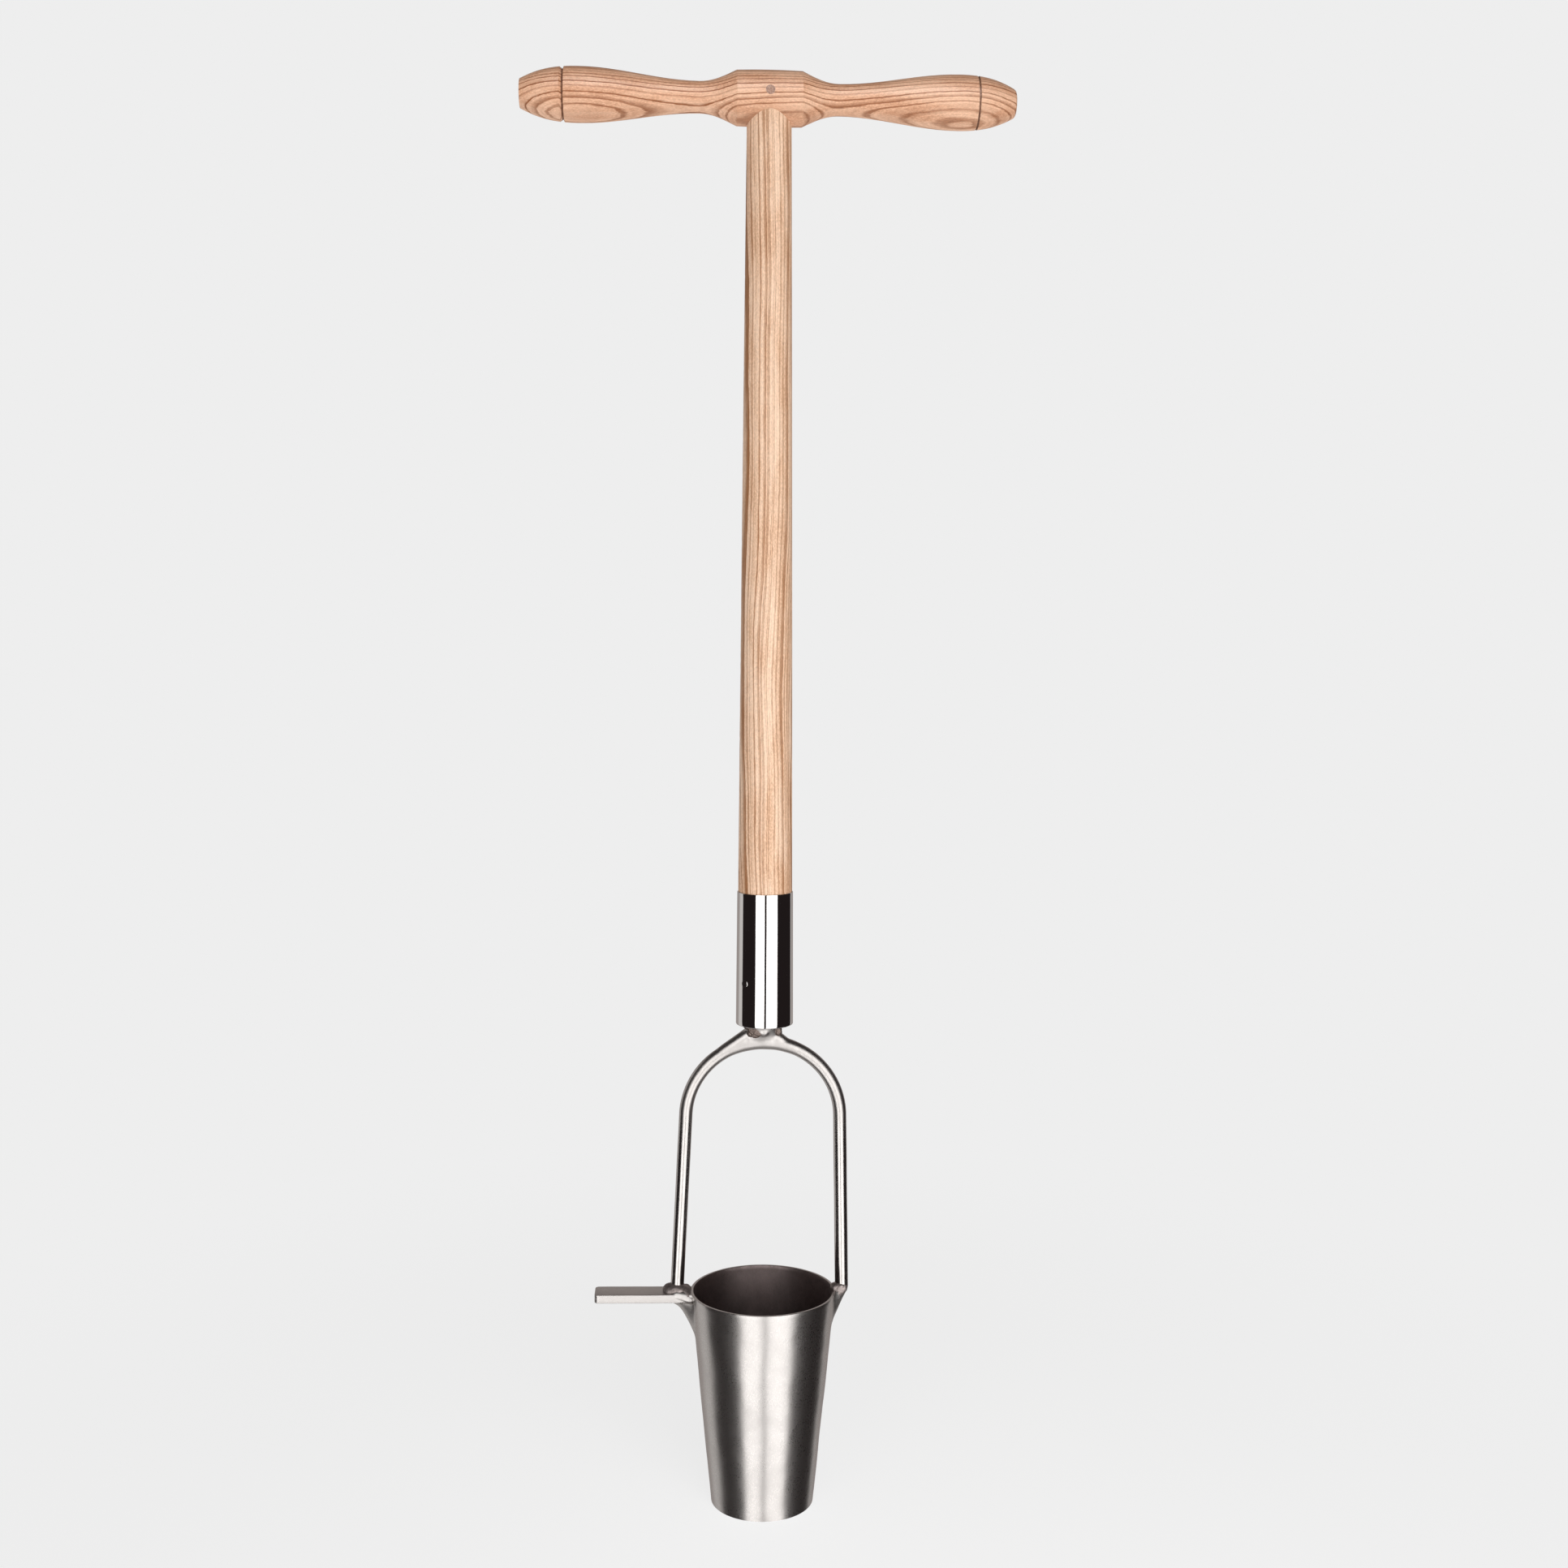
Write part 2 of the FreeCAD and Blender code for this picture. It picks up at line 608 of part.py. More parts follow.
PIECES = {
    "crossbar_handle": crossbar_handle,
    "shaft": shaft,
    "handle_dowel": handle_dowel,
    "socket_tube": socket_tube,
    "socket_end_disc": socket_end_disc,
    "socket_pin": socket_pin,
    "bail_saddle": bail_saddle,
    "saddle_bead": saddle_bead,
    "bail_rod": bail_rod,
    "cup": cup,
    "cup_seam_weld": cup_seam_weld,
    "foot_step": foot_step,
    "step_side_welds": step_side_welds,
    "step_top_weld": step_top_weld,
    "left_leg_bead": left_leg_bead,
    "left_leg_lug": left_leg_lug,
    "right_leg_beads": right_leg_beads,
    "right_leg_lug": right_leg_lug,
}

os.makedirs("parts", exist_ok=True)
for name, make in PIECES.items():
    make().exportStep(f"parts/{name}.step")
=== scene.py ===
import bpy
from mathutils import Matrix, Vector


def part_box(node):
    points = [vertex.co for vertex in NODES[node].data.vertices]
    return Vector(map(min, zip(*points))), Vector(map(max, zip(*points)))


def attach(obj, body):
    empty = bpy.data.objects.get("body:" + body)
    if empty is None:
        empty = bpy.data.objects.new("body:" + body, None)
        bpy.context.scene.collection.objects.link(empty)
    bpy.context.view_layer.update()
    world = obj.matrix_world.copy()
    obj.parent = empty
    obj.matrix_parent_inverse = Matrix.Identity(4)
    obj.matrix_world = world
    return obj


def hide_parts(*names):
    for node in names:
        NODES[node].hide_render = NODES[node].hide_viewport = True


bl_info = {
    "name": "Potato planter",
    "version": (1, 0, 0),
    "blender": (4, 5, 0),
    "location": "View3D > Sidebar > Planter",
    "description": "Dresses the frame of a long-handled potato planter and sets it in a small studio",
    "category": "Object",
}

from math import atan2, cos, degrees, pi, radians, sin, tan

import bmesh
import bpy
from mathutils import Matrix, Vector, noise

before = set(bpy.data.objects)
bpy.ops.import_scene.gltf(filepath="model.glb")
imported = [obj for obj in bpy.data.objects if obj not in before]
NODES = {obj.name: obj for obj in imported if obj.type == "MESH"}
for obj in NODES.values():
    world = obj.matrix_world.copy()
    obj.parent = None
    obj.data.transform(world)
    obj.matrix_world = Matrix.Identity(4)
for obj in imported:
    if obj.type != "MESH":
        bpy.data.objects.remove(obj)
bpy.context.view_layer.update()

UP = Vector((0, 0, 1))
ALONG_X = Vector((1, 0, 0))
ALONG_Y = Vector((0, 1, 0))
MM = 0.001


def paint(red, green, blue):
    """A colour as a screen shows it, 0 to 255, turned into the linear values that shaders take."""
    def linear(level):
        share = level / 255
        return share / 12.92 if share <= 0.04045 else ((share + 0.055) / 1.055) ** 2.4
    return linear(red), linear(green), linear(blue)


def opaque(tone):
    """A tone of three parts as the four parts that a socket takes."""
    return (*tone, 1)


# Shader maths

def both_ways(operation):
    """An operator for shader values and its reflected form, for a plain number on the left."""
    def straight(value, other):
        return value.finish.sum(operation, value, other)

    def reflected(value, other):
        return value.finish.sum(operation, other, value)
    return straight, reflected


class Value:
    """What one socket gives, so that shader maths reads as plain sums."""
    __add__, __radd__ = both_ways("ADD")
    __sub__, __rsub__ = both_ways("SUBTRACT")
    __mul__, __rmul__ = both_ways("MULTIPLY")
    __truediv__, __rtruediv__ = both_ways("DIVIDE")

    def __init__(self, finish, socket):
        self.finish = finish
        self.socket = socket


class Finish:
    """One material, with the few nodes that this tool's finishes are made of."""

    def __init__(self, name):
        self.material = bpy.data.materials.new(name)
        self.material.use_nodes = True
        self.tree = self.material.node_tree
        self.shader = next(node for node in self.tree.nodes if node.type == "BSDF_PRINCIPLED")
        self.here = self.node("ShaderNodeTexCoord", output="Object")

    def node(self, kind, settings=None, sockets=None, output=0):
        node = self.tree.nodes.new(kind)
        for key, value in (settings or {}).items():
            setattr(node, key, value)
        for key, value in (sockets or {}).items():
            self.give(node.inputs[key], value)
        return Value(self, node.outputs[output])

    def give(self, socket, value):
        """Link a socket to another node's value, or set it to a constant."""
        if isinstance(value, Value):
            self.tree.links.new(value.socket, socket)
        else:
            socket.default_value = value

    def sum(self, operation, *terms):
        return self.node("ShaderNodeMath", {"operation": operation}, dict(enumerate(terms)))

    def set(self, **sockets):
        """Set the main shader's sockets. Underscores in a name stand for spaces."""
        for key, value in sockets.items():
            self.give(self.shader.inputs[key.replace("_", " ")], value)
        return self.material

    def turned(self, place, location=(0, 0, 0), rotation=(0, 0, 0), scale=(1, 1, 1)):
        return self.node("ShaderNodeMapping", sockets={
            "Vector": place, "Location": location, "Rotation": rotation, "Scale": scale})

    def part(self, place, axis):
        return self.node("ShaderNodeSeparateXYZ", sockets={0: place}, output=axis)

    def noise(self, place, scale, detail, roughness):
        return self.node("ShaderNodeTexNoise", sockets={
            "Vector": place, "Scale": scale, "Detail": detail, "Roughness": roughness})

    def streaks(self, place, scales, detail, roughness):
        """Noise with a scale for each axis, so that it can be drawn out along one of them."""
        return self.noise(self.turned(place, scale=scales), 1.0, detail, roughness)

    def line_noise(self, along, scale):
        return self.node(
            "ShaderNodeTexNoise", {"noise_dimensions": "1D"}, {"W": along, "Scale": scale, "Detail": 1.0})

    def ease(self, value, low, high, low_gives=0.0, high_gives=1.0):
        return self.node("ShaderNodeMapRange", {"interpolation_type": "SMOOTHSTEP"}, dict(enumerate(
            (value, low, high, low_gives, high_gives))))

    def band(self, value, rise, fall):
        """1 from the end of a rise to the start of a fall, and 0 beyond both."""
        return self.ease(value, *rise) * self.ease(value, *fall, 1.0, 0.0)

    def between(self, share, colour, other):
        return self.node("ShaderNodeMix", {"data_type": "RGBA"}, {0: share, 6: colour, 7: other}, 2)

    def dyed(self, colour, dye):
        return self.node(
            "ShaderNodeMix", {"data_type": "RGBA", "blend_type": "MULTIPLY"}, {0: 1.0, 6: colour, 7: dye}, 2)

    def relief(self, height, depth):
        return self.node("ShaderNodeBump", sockets={"Height": height, "Distance": depth, "Strength": 1.0})


# Finishes

# How often each noise of the wood repeats in a metre, along the grain and across it
DRIFT_SCALES = (4.0, 16.0, 16.0)
SHIVER_SCALES = (60.0, 380.0, 380.0)
PORE_SCALES = (240.0, 2300.0, 2300.0)
FLECK_SCALES = (560.0, 1300.0, 1300.0)
CLOUD_SCALES = (16.0, 90.0, 90.0)
PEG_PORE_SCALE = 1100.0
PEG_STREAK_SCALES = (900.0, 300.0, 260.0)
# How far a ring line shivers, as a share of the spacing, and how often the rings' widths change
SHIVER, RING_CHANGE = 0.34, 0.8
# Where a ring line, and a faint line between two of them, rise and fall
LINE_RISE, LINE_FALL = (0.0, 0.10), (0.16, 0.58)
FAINT_RISE, FAINT_FALL = (0.0, 0.2), (0.3, 0.8)
FAINT_LINES, FAINT_SHIFT, FAINT_DEPTH = 2.6, 0.3, 0.16
PORE_DEPTH = 0.42
# The painted shade in a groove: its dark half-width, where it ends, how dark it is and how ragged
GROOVE_SHADE_CORE, GROOVE_SHADE_END, GROOVE_SHADE_DEPTH = 0.0002, 0.0010, 0.85
GROOVE_SHADE_RAGGED, GROOVE_SHADE_SCALE = 0.0012, 700.0
WOOD_RELIEF, PEG_RELIEF = 0.00010, 0.00006
# How often the patches in steel repeat in a metre, and how much of its tone is left where it is dull
PATCH_SCALE, DULL = 55.0, 0.62


def ash(name, look, tones, rotation, location, spacing, line_depth, wander, jumble, grooves=()):
    """Ash with ring lines at a spacing, and open pores in them. After the rotation the grain runs along X and
    the rings lie across Z. tones are the pale wood, the deep wood and the ring lines, jumble is how unequal the
    rings are, and grooves are places along the tool's X where a dark line of painted shade stands in
    for the shadow in the cut."""
    wood = Finish(name)
    pale_tone, deep_tone, ring_tone = (opaque(tone) for tone in tones)
    place = wood.turned(wood.here, location, rotation)

    drift = (wood.streaks(place, DRIFT_SCALES, 2.0, 0.45) - 0.5) * wander
    shiver = (wood.streaks(place, SHIVER_SCALES, 2.0, 0.6) - 0.5) * (spacing * SHIVER)
    ring = (wood.part(place, 2) + drift + shiver) / spacing
    ring = ring + (wood.line_noise(ring, RING_CHANGE) - 0.5) * jumble
    strength = wood.node("ShaderNodeTexWhiteNoise", {"noise_dimensions": "1D"}, {"W": wood.sum("FLOOR", ring)})
    early = wood.band(wood.sum("FRACT", ring), LINE_RISE, LINE_FALL)
    faint = wood.band(wood.sum("FRACT", ring * FAINT_LINES + FAINT_SHIFT), FAINT_RISE, FAINT_FALL)

    pore = wood.streaks(place, PORE_SCALES, 2.0, 0.65)
    pores = wood.ease(pore, 0.50, 0.70) * (early * 0.9 + 0.08)
    fleck = wood.streaks(place, FLECK_SCALES, 3.0, 0.7)
    cloud = wood.streaks(place, CLOUD_SCALES, 3.0, 0.6)

    colour = wood.between(wood.ease(cloud, 0.32, 0.68), deep_tone, pale_tone)
    colour = wood.between(wood.ease(fleck, 0.40, 0.66) * 0.45, colour, pale_tone)
    patchy = wood.ease(cloud, 0.30, 0.70, 1.15, 0.75)
    line = (early * (strength * 0.6 + 0.45) * patchy + faint * FAINT_DEPTH) * line_depth
    colour = wood.between(line, colour, ring_tone)
    colour = wood.between(pores * PORE_DEPTH, colour, opaque(look.pore_tone))
    colour = wood.dyed(colour, wood.ease(fleck, 0.25, 0.75, 0.84, 1.12))
    # Painted shade: along each groove the colour goes over to the dark groove tone, in place of the shadow in the
    # cut
    ragged = (wood.noise(wood.here, GROOVE_SHADE_SCALE, 2.0, 0.6) - 0.5) * GROOVE_SHADE_RAGGED
    for groove in grooves:
        off = wood.sum("ABSOLUTE", wood.part(wood.here, 0) - groove + ragged)
        groove_shade = wood.ease(off, GROOVE_SHADE_CORE, GROOVE_SHADE_END, GROOVE_SHADE_DEPTH, 0.0)
        colour = wood.between(groove_shade, colour, opaque(look.groove_shade_tone))
    height = fleck * 0.35 - pores * 0.9 - early * 0.25
    return wood.set(
        Base_Color=colour,
        Roughness=wood.ease(fleck, 0.2, 0.8, look.roughness - 0.06, look.roughness + 0.10),
        Specular_IOR_Level=0.5,
        Normal=wood.relief(height, WOOD_RELIEF),
    )


def end_grain(name, look):
    """The peg's cut end: small pores in a greyed brown."""
    wood = Finish(name)
    pore = wood.noise(wood.here, PEG_PORE_SCALE, 2.0, 0.6)
    streak = wood.streaks(wood.here, PEG_STREAK_SCALES, 2.0, 0.5)
    colour = wood.between(wood.ease(pore, 0.42, 0.60), opaque(look.peg_tone), opaque(look.peg_pore_tone))
    colour = wood.between(wood.ease(streak, 0.4, 0.7) * 0.4, colour, opaque(look.crossbar_ring_tone))
    return wood.set(Base_Color=colour, Roughness=0.6, Normal=wood.relief(pore, PEG_RELIEF))


def steel(
        name, tone, roughness, spread=0.08, grain=(600, 600, 600), depth=0.00002, blotch=0.12, speckle=0.0,
        brushed=None):
    """Stainless steel. grain is how fine its marks are along each axis, blotch is how uneven its tone is in
    patches, and speckle is how much the single marks show. brushed gives two heights between which the metal goes
    over to a rougher finish, and that roughness."""
    metal = Finish(name)
    marks = metal.streaks(metal.here, grain, 3.0, 0.65)
    patch = metal.noise(metal.here, PATCH_SCALE, 3.0, 0.6)
    shade = metal.ease(patch, 0.35, 0.75) * blotch + metal.ease(marks, 0.3, 0.7) * speckle
    colour = metal.between(shade, opaque(tone), opaque(DULL * part for part in tone))
    rough = metal.ease(marks, 0.25, 0.75, roughness - spread / 2, roughness + spread / 2)
    rough = rough + (patch - 0.5) * spread
    if brushed:
        low, high, brushed_roughness = brushed
        rough = rough + metal.ease(metal.part(metal.here, 2), low, high, 0.0, brushed_roughness - roughness)
    if depth:
        metal.set(Normal=metal.relief(marks, depth))
    return metal.set(Base_Color=colour, Metallic=1.0, Roughness=rough)


# Settings

def tone_setting(name, description, default):
    return bpy.props.FloatVectorProperty(
        name=name, description=description, default=default, subtype="COLOR", min=0, max=1)


def size_setting(name, description, default, least=0):
    return bpy.props.FloatProperty(
        name=name, description=description, default=default, min=least, precision=5, subtype="DISTANCE",
        unit="LENGTH")


def angle_setting(name, description, degrees):
    return bpy.props.FloatProperty(
        name=name, description=description, default=radians(degrees), subtype="ANGLE")


def level_setting(name, description, default, most):
    return bpy.props.FloatProperty(name=name, description=description, default=default, min=0, max=most)


class PLANTER_PG_wood(bpy.types.PropertyGroup):
    crossbar_pale_tone: tone_setting(
        "Crossbar, pale", "Colour of the crossbar's late wood between the ring lines", paint(232, 188, 158))
    crossbar_deep_tone: tone_setting("Crossbar, deep", "Colour of the darker clouds in it", paint(208, 154, 120))
    crossbar_ring_tone: tone_setting("Crossbar, rings", "Colour of its porous ring lines", paint(144, 86, 48))
    shaft_pale_tone: tone_setting(
        "Shaft, pale", "Colour of the shaft's late wood between the ring lines", paint(248, 214, 186))
    shaft_deep_tone: tone_setting("Shaft, deep", "Colour of the darker clouds in it", paint(222, 178, 144))
    shaft_ring_tone: tone_setting("Shaft, rings", "Colour of its porous ring lines", paint(158, 106, 66))
    pore_tone: tone_setting("Pores", "Colour inside the open pores", paint(112, 72, 50))
    # The groove colour is painted shade: the dark line at the bottom of each groove stands in for the shadow in
    # the cut
    groove_shade_tone: tone_setting("Grooves", "Colour at the bottom of the crossbar's two grooves", paint(92, 56, 40))
    peg_tone: tone_setting("Peg", "Colour of the peg's cut end", paint(172, 138, 120))
    peg_pore_tone: tone_setting("Peg pores", "Colour of the pores in the peg's cut end", paint(140, 108, 94))
    roughness: level_setting("Roughness", "How matt the oiled wood is", 0.46, 1)
    crossbar_ring_spacing: size_setting(
        "Crossbar rings", "Distance between ring lines in the crossbar", 0.0031, 0.001)
    shaft_ring_spacing: size_setting("Shaft rings", "Distance between ring lines in the shaft", 0.0027, 0.001)


# The rod's nominal radius, and where the step's inner end lies on the rim
ROD_HALF, STEP_START = 0.00475, 0.0523


class PLANTER_PG_sizes(bpy.types.PropertyGroup):
    cup_height: size_setting("Cup height", "From the lower edge to the rim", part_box("cup")[1].z)
    rim_radius: size_setting("Rim radius", "Outside of the cup at its rim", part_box("cup")[1].x - 0.00015)
    edge_radius: size_setting("Edge radius", "Outside of the cup at its lower edge", 0.03695)
    cup_wall: size_setting("Cup wall", "Thickness of the cup's sheet", 0.00201)
    edge_land: size_setting("Edge land", "Flat left on the cup's ground lower edge", 0.0008)
    bevel_height: size_setting("Edge bevel", "Height of the bevel inside the cup's lower edge", 0.005)
    rod_radius: size_setting("Rod radius", "Radius of the bail's rod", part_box("bail_rod")[1].y)
    crown_height: size_setting(
        "Crown height", "The rod's centre line at the crown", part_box("bail_rod")[1].z - ROD_HALF)
    left_foot: size_setting("Left foot", "From the axis to the left foot at the rim", 0.06185)
    right_foot: size_setting("Right foot", "From the axis to the right foot at the rim", 0.05675)
    left_lean: angle_setting("Left lean", "How far the left leg leans out", 2.7)
    right_lean: angle_setting("Right lean", "How far the right leg leans out", 1.1)
    crown_flat: size_setting("Crown flat", "Straight length at the crown", 0.002)
    socket_foot_radius: size_setting("Socket foot", "Outer radius at the socket's foot", 0.0203)
    socket_mouth_radius: size_setting("Socket mouth", "Outer radius at the socket's mouth", 0.0197)
    socket_wall: size_setting("Socket wall", "Thickness of the socket's wall", 0.0015)
    step_length: size_setting(
        "Step length", "From the rim to the step's end", -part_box("foot_step")[0].x - STEP_START)
    step_width: size_setting("Step width", "Across the step", 0.018)
    step_thickness: size_setting("Step thickness", "Thickness of the step's flat bar", 0.006)
    step_tilt: angle_setting("Step tilt", "How far the step rises to its free end", 0.5)


class PLANTER_PG_metal(bpy.types.PropertyGroup):
    polished_tone: tone_setting("Polished steel", "Colour of the mirror polished socket", (0.80, 0.785, 0.775))
    satin_tone: tone_setting("Satin steel", "Colour of the cup, the rod and the step", (0.64, 0.615, 0.60))
    weld_tone: tone_setting("Weld metal", "Colour of the beads at the left foot", (0.46, 0.40, 0.385))
    burnt_tone: tone_setting(
        "Burnt metal", "Colour of the patches that the grinder left at the saddle", (0.27, 0.215, 0.19))
    bright_weld_tone: tone_setting(
        "Bright weld metal", "Colour of the beads at the right foot", (0.50, 0.435, 0.42))
    scale_tone: tone_setting("Cup inside", "Colour of the unpolished steel inside the cup", (0.34, 0.275, 0.27))


class PLANTER_PG_studio(bpy.types.PropertyGroup):
    background: tone_setting(
        "Background", "Colour of the floor and of everything behind the tool", paint(238, 238, 238))
    lamp_level: level_setting("Lamp level", "Brightness of the two tall lamps", 1.25, 10)
    fill_level: level_setting("Fill level", "Brightness of the light that comes from all round", 0.06, 2)
    front_level: level_setting(
        "Front level", "Brightness of the low lamp in front, which metal doesn't mirror", 2.9, 20)
    crossbar_level: level_setting(
        "Crossbar level", "Brightness of the lamp above the camera that only lights the crossbar", 7.4, 50)
    shine_level: level_setting(
        "Shine level", "Brightness of the lamp that the crossbar's oiled surface mirrors", 14.0, 200)
    floor_glow: level_setting(
        "Floor glow", "How much of the floor's brightness doesn't depend on the lamps", 0.92, 1)
    lens: bpy.props.FloatProperty(
        name="Lens", description="Focal length of the camera", default=41.98, min=10, max=200, unit="CAMERA")


def dress(node, material):
    """Give a piece of the frame its finish."""
    slots = NODES[node].data.materials
    slots.clear()
    slots.append(material)


# Modelling

def placed(name, data):
    """A new object in the scene that shows a mesh, a lamp or a camera."""
    made = bpy.data.objects.new(name, data)
    bpy.context.scene.collection.objects.link(made)
    return made


def mesh_of(name, work):
    mesh = bpy.data.meshes.new(name)
    work.to_mesh(mesh)
    work.free()
    return mesh


def facing(place, direction):
    """A frame at a place, whose Z axis points along a direction."""
    return Matrix.Translation(place) @ direction.to_track_quat("Z", "Y").to_matrix().to_4x4()


def spun(points, steps):
    """A ring of material: a closed outline turned once round the tool's upright axis."""
    work = bmesh.new()
    corners = [work.verts.new(point) for point in points]
    edges = [work.edges.new(pair) for pair in zip(corners, corners[1:] + corners[:1])]
    bmesh.ops.spin(
        work, geom=corners + edges, cent=(0, 0, 0), axis=UP, dvec=(0, 0, 0), angle=2 * pi, steps=steps,
        use_merge=True, use_duplicate=False)
    bmesh.ops.recalc_face_normals(work, faces=work.faces)
    return work


def bevelled(work, radius, wanted, segments=3):
    edges = [edge for edge in work.edges if wanted(edge)]
    bmesh.ops.bevel(
        work, geom=edges, offset=radius, offset_type="OFFSET", segments=segments, profile=0.5,
        affect="EDGES", material=-1, clamp_overlap=True)


def above(height):
    """A test for the edges that lie above a height."""
    return lambda edge: all(vert.co.z > height for vert in edge.verts)


def divided(work, axis, least, cuts):
    """Cut the edges that run further than a least length along an axis."""
    long = [edge for edge in work.edges if abs(edge.verts[0].co[axis] - edge.verts[1].co[axis]) > least]
    bmesh.ops.subdivide_edges(work, edges=long, cuts=cuts, use_grid_fill=True)


def ring(work, centre, across, along, segments, direction=UP):
    """An ellipse of edges, with its first half-width along X and its second along Y before it is turned."""
    matrix = facing(centre, direction) @ Matrix.Diagonal((across, along, 1, 1))
    bmesh.ops.create_circle(work, cap_ends=False, segments=segments, radius=1.0, matrix=matrix)
    return [edge for edge in work.edges if edge.is_wire]


def extruded(work, edges):
    """Extrude a ring of edges where it is, and give the new ring's corners and edges."""
    grown = bmesh.ops.extrude_edge_only(work, edges=edges)["geom"]
    corners = [item for item in grown if isinstance(item, bmesh.types.BMVert)]
    return corners, [item for item in grown if isinstance(item, bmesh.types.BMEdge) and item.is_boundary]


def drawn_out(work, edges, shift, steps=1):
    """Extrude a ring of edges along a straight run."""
    for _ in range(steps):
        corners, edges = extruded(work, edges)
        bmesh.ops.translate(work, verts=corners, vec=shift / steps)
    return edges


def bent(work, edges, centre, angle, steps):
    """Sweep a ring of edges round a bend in the upright plane of the bail."""
    last = bmesh.ops.spin(
        work, geom=edges, cent=centre, axis=ALONG_Y, dvec=(0, 0, 0), angle=angle, steps=steps,
        use_merge=False, use_duplicate=False)["geom_last"]
    return [item for item in last if isinstance(item, bmesh.types.BMEdge)]


def stacked(work, sections):
    """Add a closed body through level ellipses, each given as its centre and its half-widths along X and Y."""
    centre, across, along = sections[0]
    edges = ring(work, centre, across, along, STACK_SIDES)
    for next_centre, next_across, next_along in sections[1:]:
        corners, edges = extruded(work, edges)
        to_unit = Matrix.Diagonal((next_across / across, next_along / along, 1, 1))
        move = Matrix.Translation(next_centre) @ to_unit @ Matrix.Translation(-centre)
        bmesh.ops.transform(work, matrix=move, verts=corners)
        centre, across, along = next_centre, next_across, next_along
    closed(work)


def closed(work):
    """Fill what is open and turn every face outwards."""
    bmesh.ops.holes_fill(work, edges=[edge for edge in work.edges if edge.is_boundary], sides=0)
    bmesh.ops.recalc_face_normals(work, faces=work.faces)


def cut_off(work, point, away):
    """Cut everything off on one side of a plane, and close the cut."""
    whole = work.verts[:] + work.edges[:] + work.faces[:]
    bmesh.ops.bisect_plane(work, geom=whole, plane_co=point, plane_no=away, clear_outer=True, clear_inner=False)
    closed(work)


def lump(work, centre, radii):
    """Add a rounded lump of metal."""
    matrix = Matrix.Translation(centre) @ Matrix.Diagonal((*radii, 1))
    bmesh.ops.create_icosphere(work, subdivisions=4, radius=1.0, matrix=matrix)


def lumps(work, table, height=0.0):
    """Add lumps from a table of their middles and half-widths along X, Y and Z, in millimetres above a height."""
    for x, y, z, across, along, high in table:
        lump(work, Vector((x * MM, y * MM, height + z * MM)), (across * MM, along * MM, high * MM))


def strut(work, start, end, start_radius, end_radius):
    """Add a round tapered strut."""
    along = end - start
    bmesh.ops.create_cone(
        work, cap_ends=True, segments=STACK_SIDES, radius1=start_radius, radius2=end_radius, depth=along.length,
        matrix=facing((start + end) / 2, along))


def melted(work, grain, rounds):
    """Join overlapping bodies into one skin of even small faces, and soften it so that they run together."""
    mesh = mesh_of("melt", work)
    holder = placed("melt", mesh)
    remesh = holder.modifiers.new("skin", "REMESH")
    remesh.mode = "VOXEL"
    remesh.voxel_size = grain
    remesh.adaptivity = 0
    skin = bpy.data.meshes.new_from_object(holder.evaluated_get(bpy.context.evaluated_depsgraph_get()))
    joined = bmesh.new()
    joined.from_mesh(skin)
    bpy.data.objects.remove(holder)
    for old in (mesh, skin):
        bpy.data.meshes.remove(old)
    for _ in range(rounds):
        bmesh.ops.smooth_vert(
            joined, verts=joined.verts, factor=0.5, use_axis_x=True, use_axis_y=True, use_axis_z=True)
    return joined


def uneven(work, depth, size, seed=0.0, direction=None, amount=None):
    """Move the surface in and out a little, as hand work leaves it. direction gives the way a point moves, and
    amount how much of the depth it takes."""
    work.normal_update()
    shifts = []
    for vert in work.verts:
        wave = noise.noise(vert.co / size + Vector((seed, 0, 0)))
        way = direction(vert.co) if direction else vert.normal
        share = amount(vert.co) if amount else 1.0
        shifts.append(way * (wave * depth * share))
    for vert, shift in zip(work.verts, shifts):
        vert.co += shift


def piece(name, work, material, slot, *stands_for, crease=60, inside=None):
    """Turn a modelled shape into a finished piece that stands for nodes of the frame. crease is the angle from
    which an edge stays sharp, and inside is the finish of the faces that look at the tool's axis."""
    bmesh.ops.remove_doubles(work, verts=work.verts, dist=1e-6)
    bmesh.ops.recalc_face_normals(work, faces=work.faces)
    for face in work.faces:
        face.smooth = True
        if inside and face.normal.dot(outward(face.calc_center_median())) < LOOKS_INWARD:
            face.material_index = 1
    mesh = mesh_of(name, work)
    mesh.set_sharp_from_angle(angle=radians(crease))
    for finish in (material, inside) if inside else (material,):
        mesh.materials.append(finish)
    made = placed(name, mesh)
    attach(made, "root")
    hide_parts(*stands_for)


def outward(point):
    """The level direction away from the tool's axis."""
    return Vector((point.x, point.y, 0)).normalized()


# Pieces

V_GROOVE_BOTTOM = -0.1399
SAW_GROOVE_MIDDLE = 0.1424
# How far the crossbar's rings are turned about its length and off it, in degrees, and where rings start
BOARD_TURN, BOARD_SKEW = 26, 0.8
CROSSBAR_SHIFT, SHAFT_SHIFT = -0.0004, 0.0007

# How finely the shapes are divided: round, and along
STACK_SIDES = 40
ROD_SIDES, LEG_ROWS, BEND_ROWS = 40, 40, 48
SLEEVE_SIDES, SLEEVE_ROWS = 48, 40
SOCKET_STEPS, SOCKET_ROWS = 192, 36
CUP_STEPS, CUP_ROWS = 160, 60
SEAM_SIDES, SEAM_ROWS = 14, 150
LUG_STEPS, LUG_ROWS = 360, 70
STEP_ROWS = 50
SADDLE_GRAIN, WELD_GRAIN = 0.00045, 0.0003
LOOKS_INWARD = -0.5

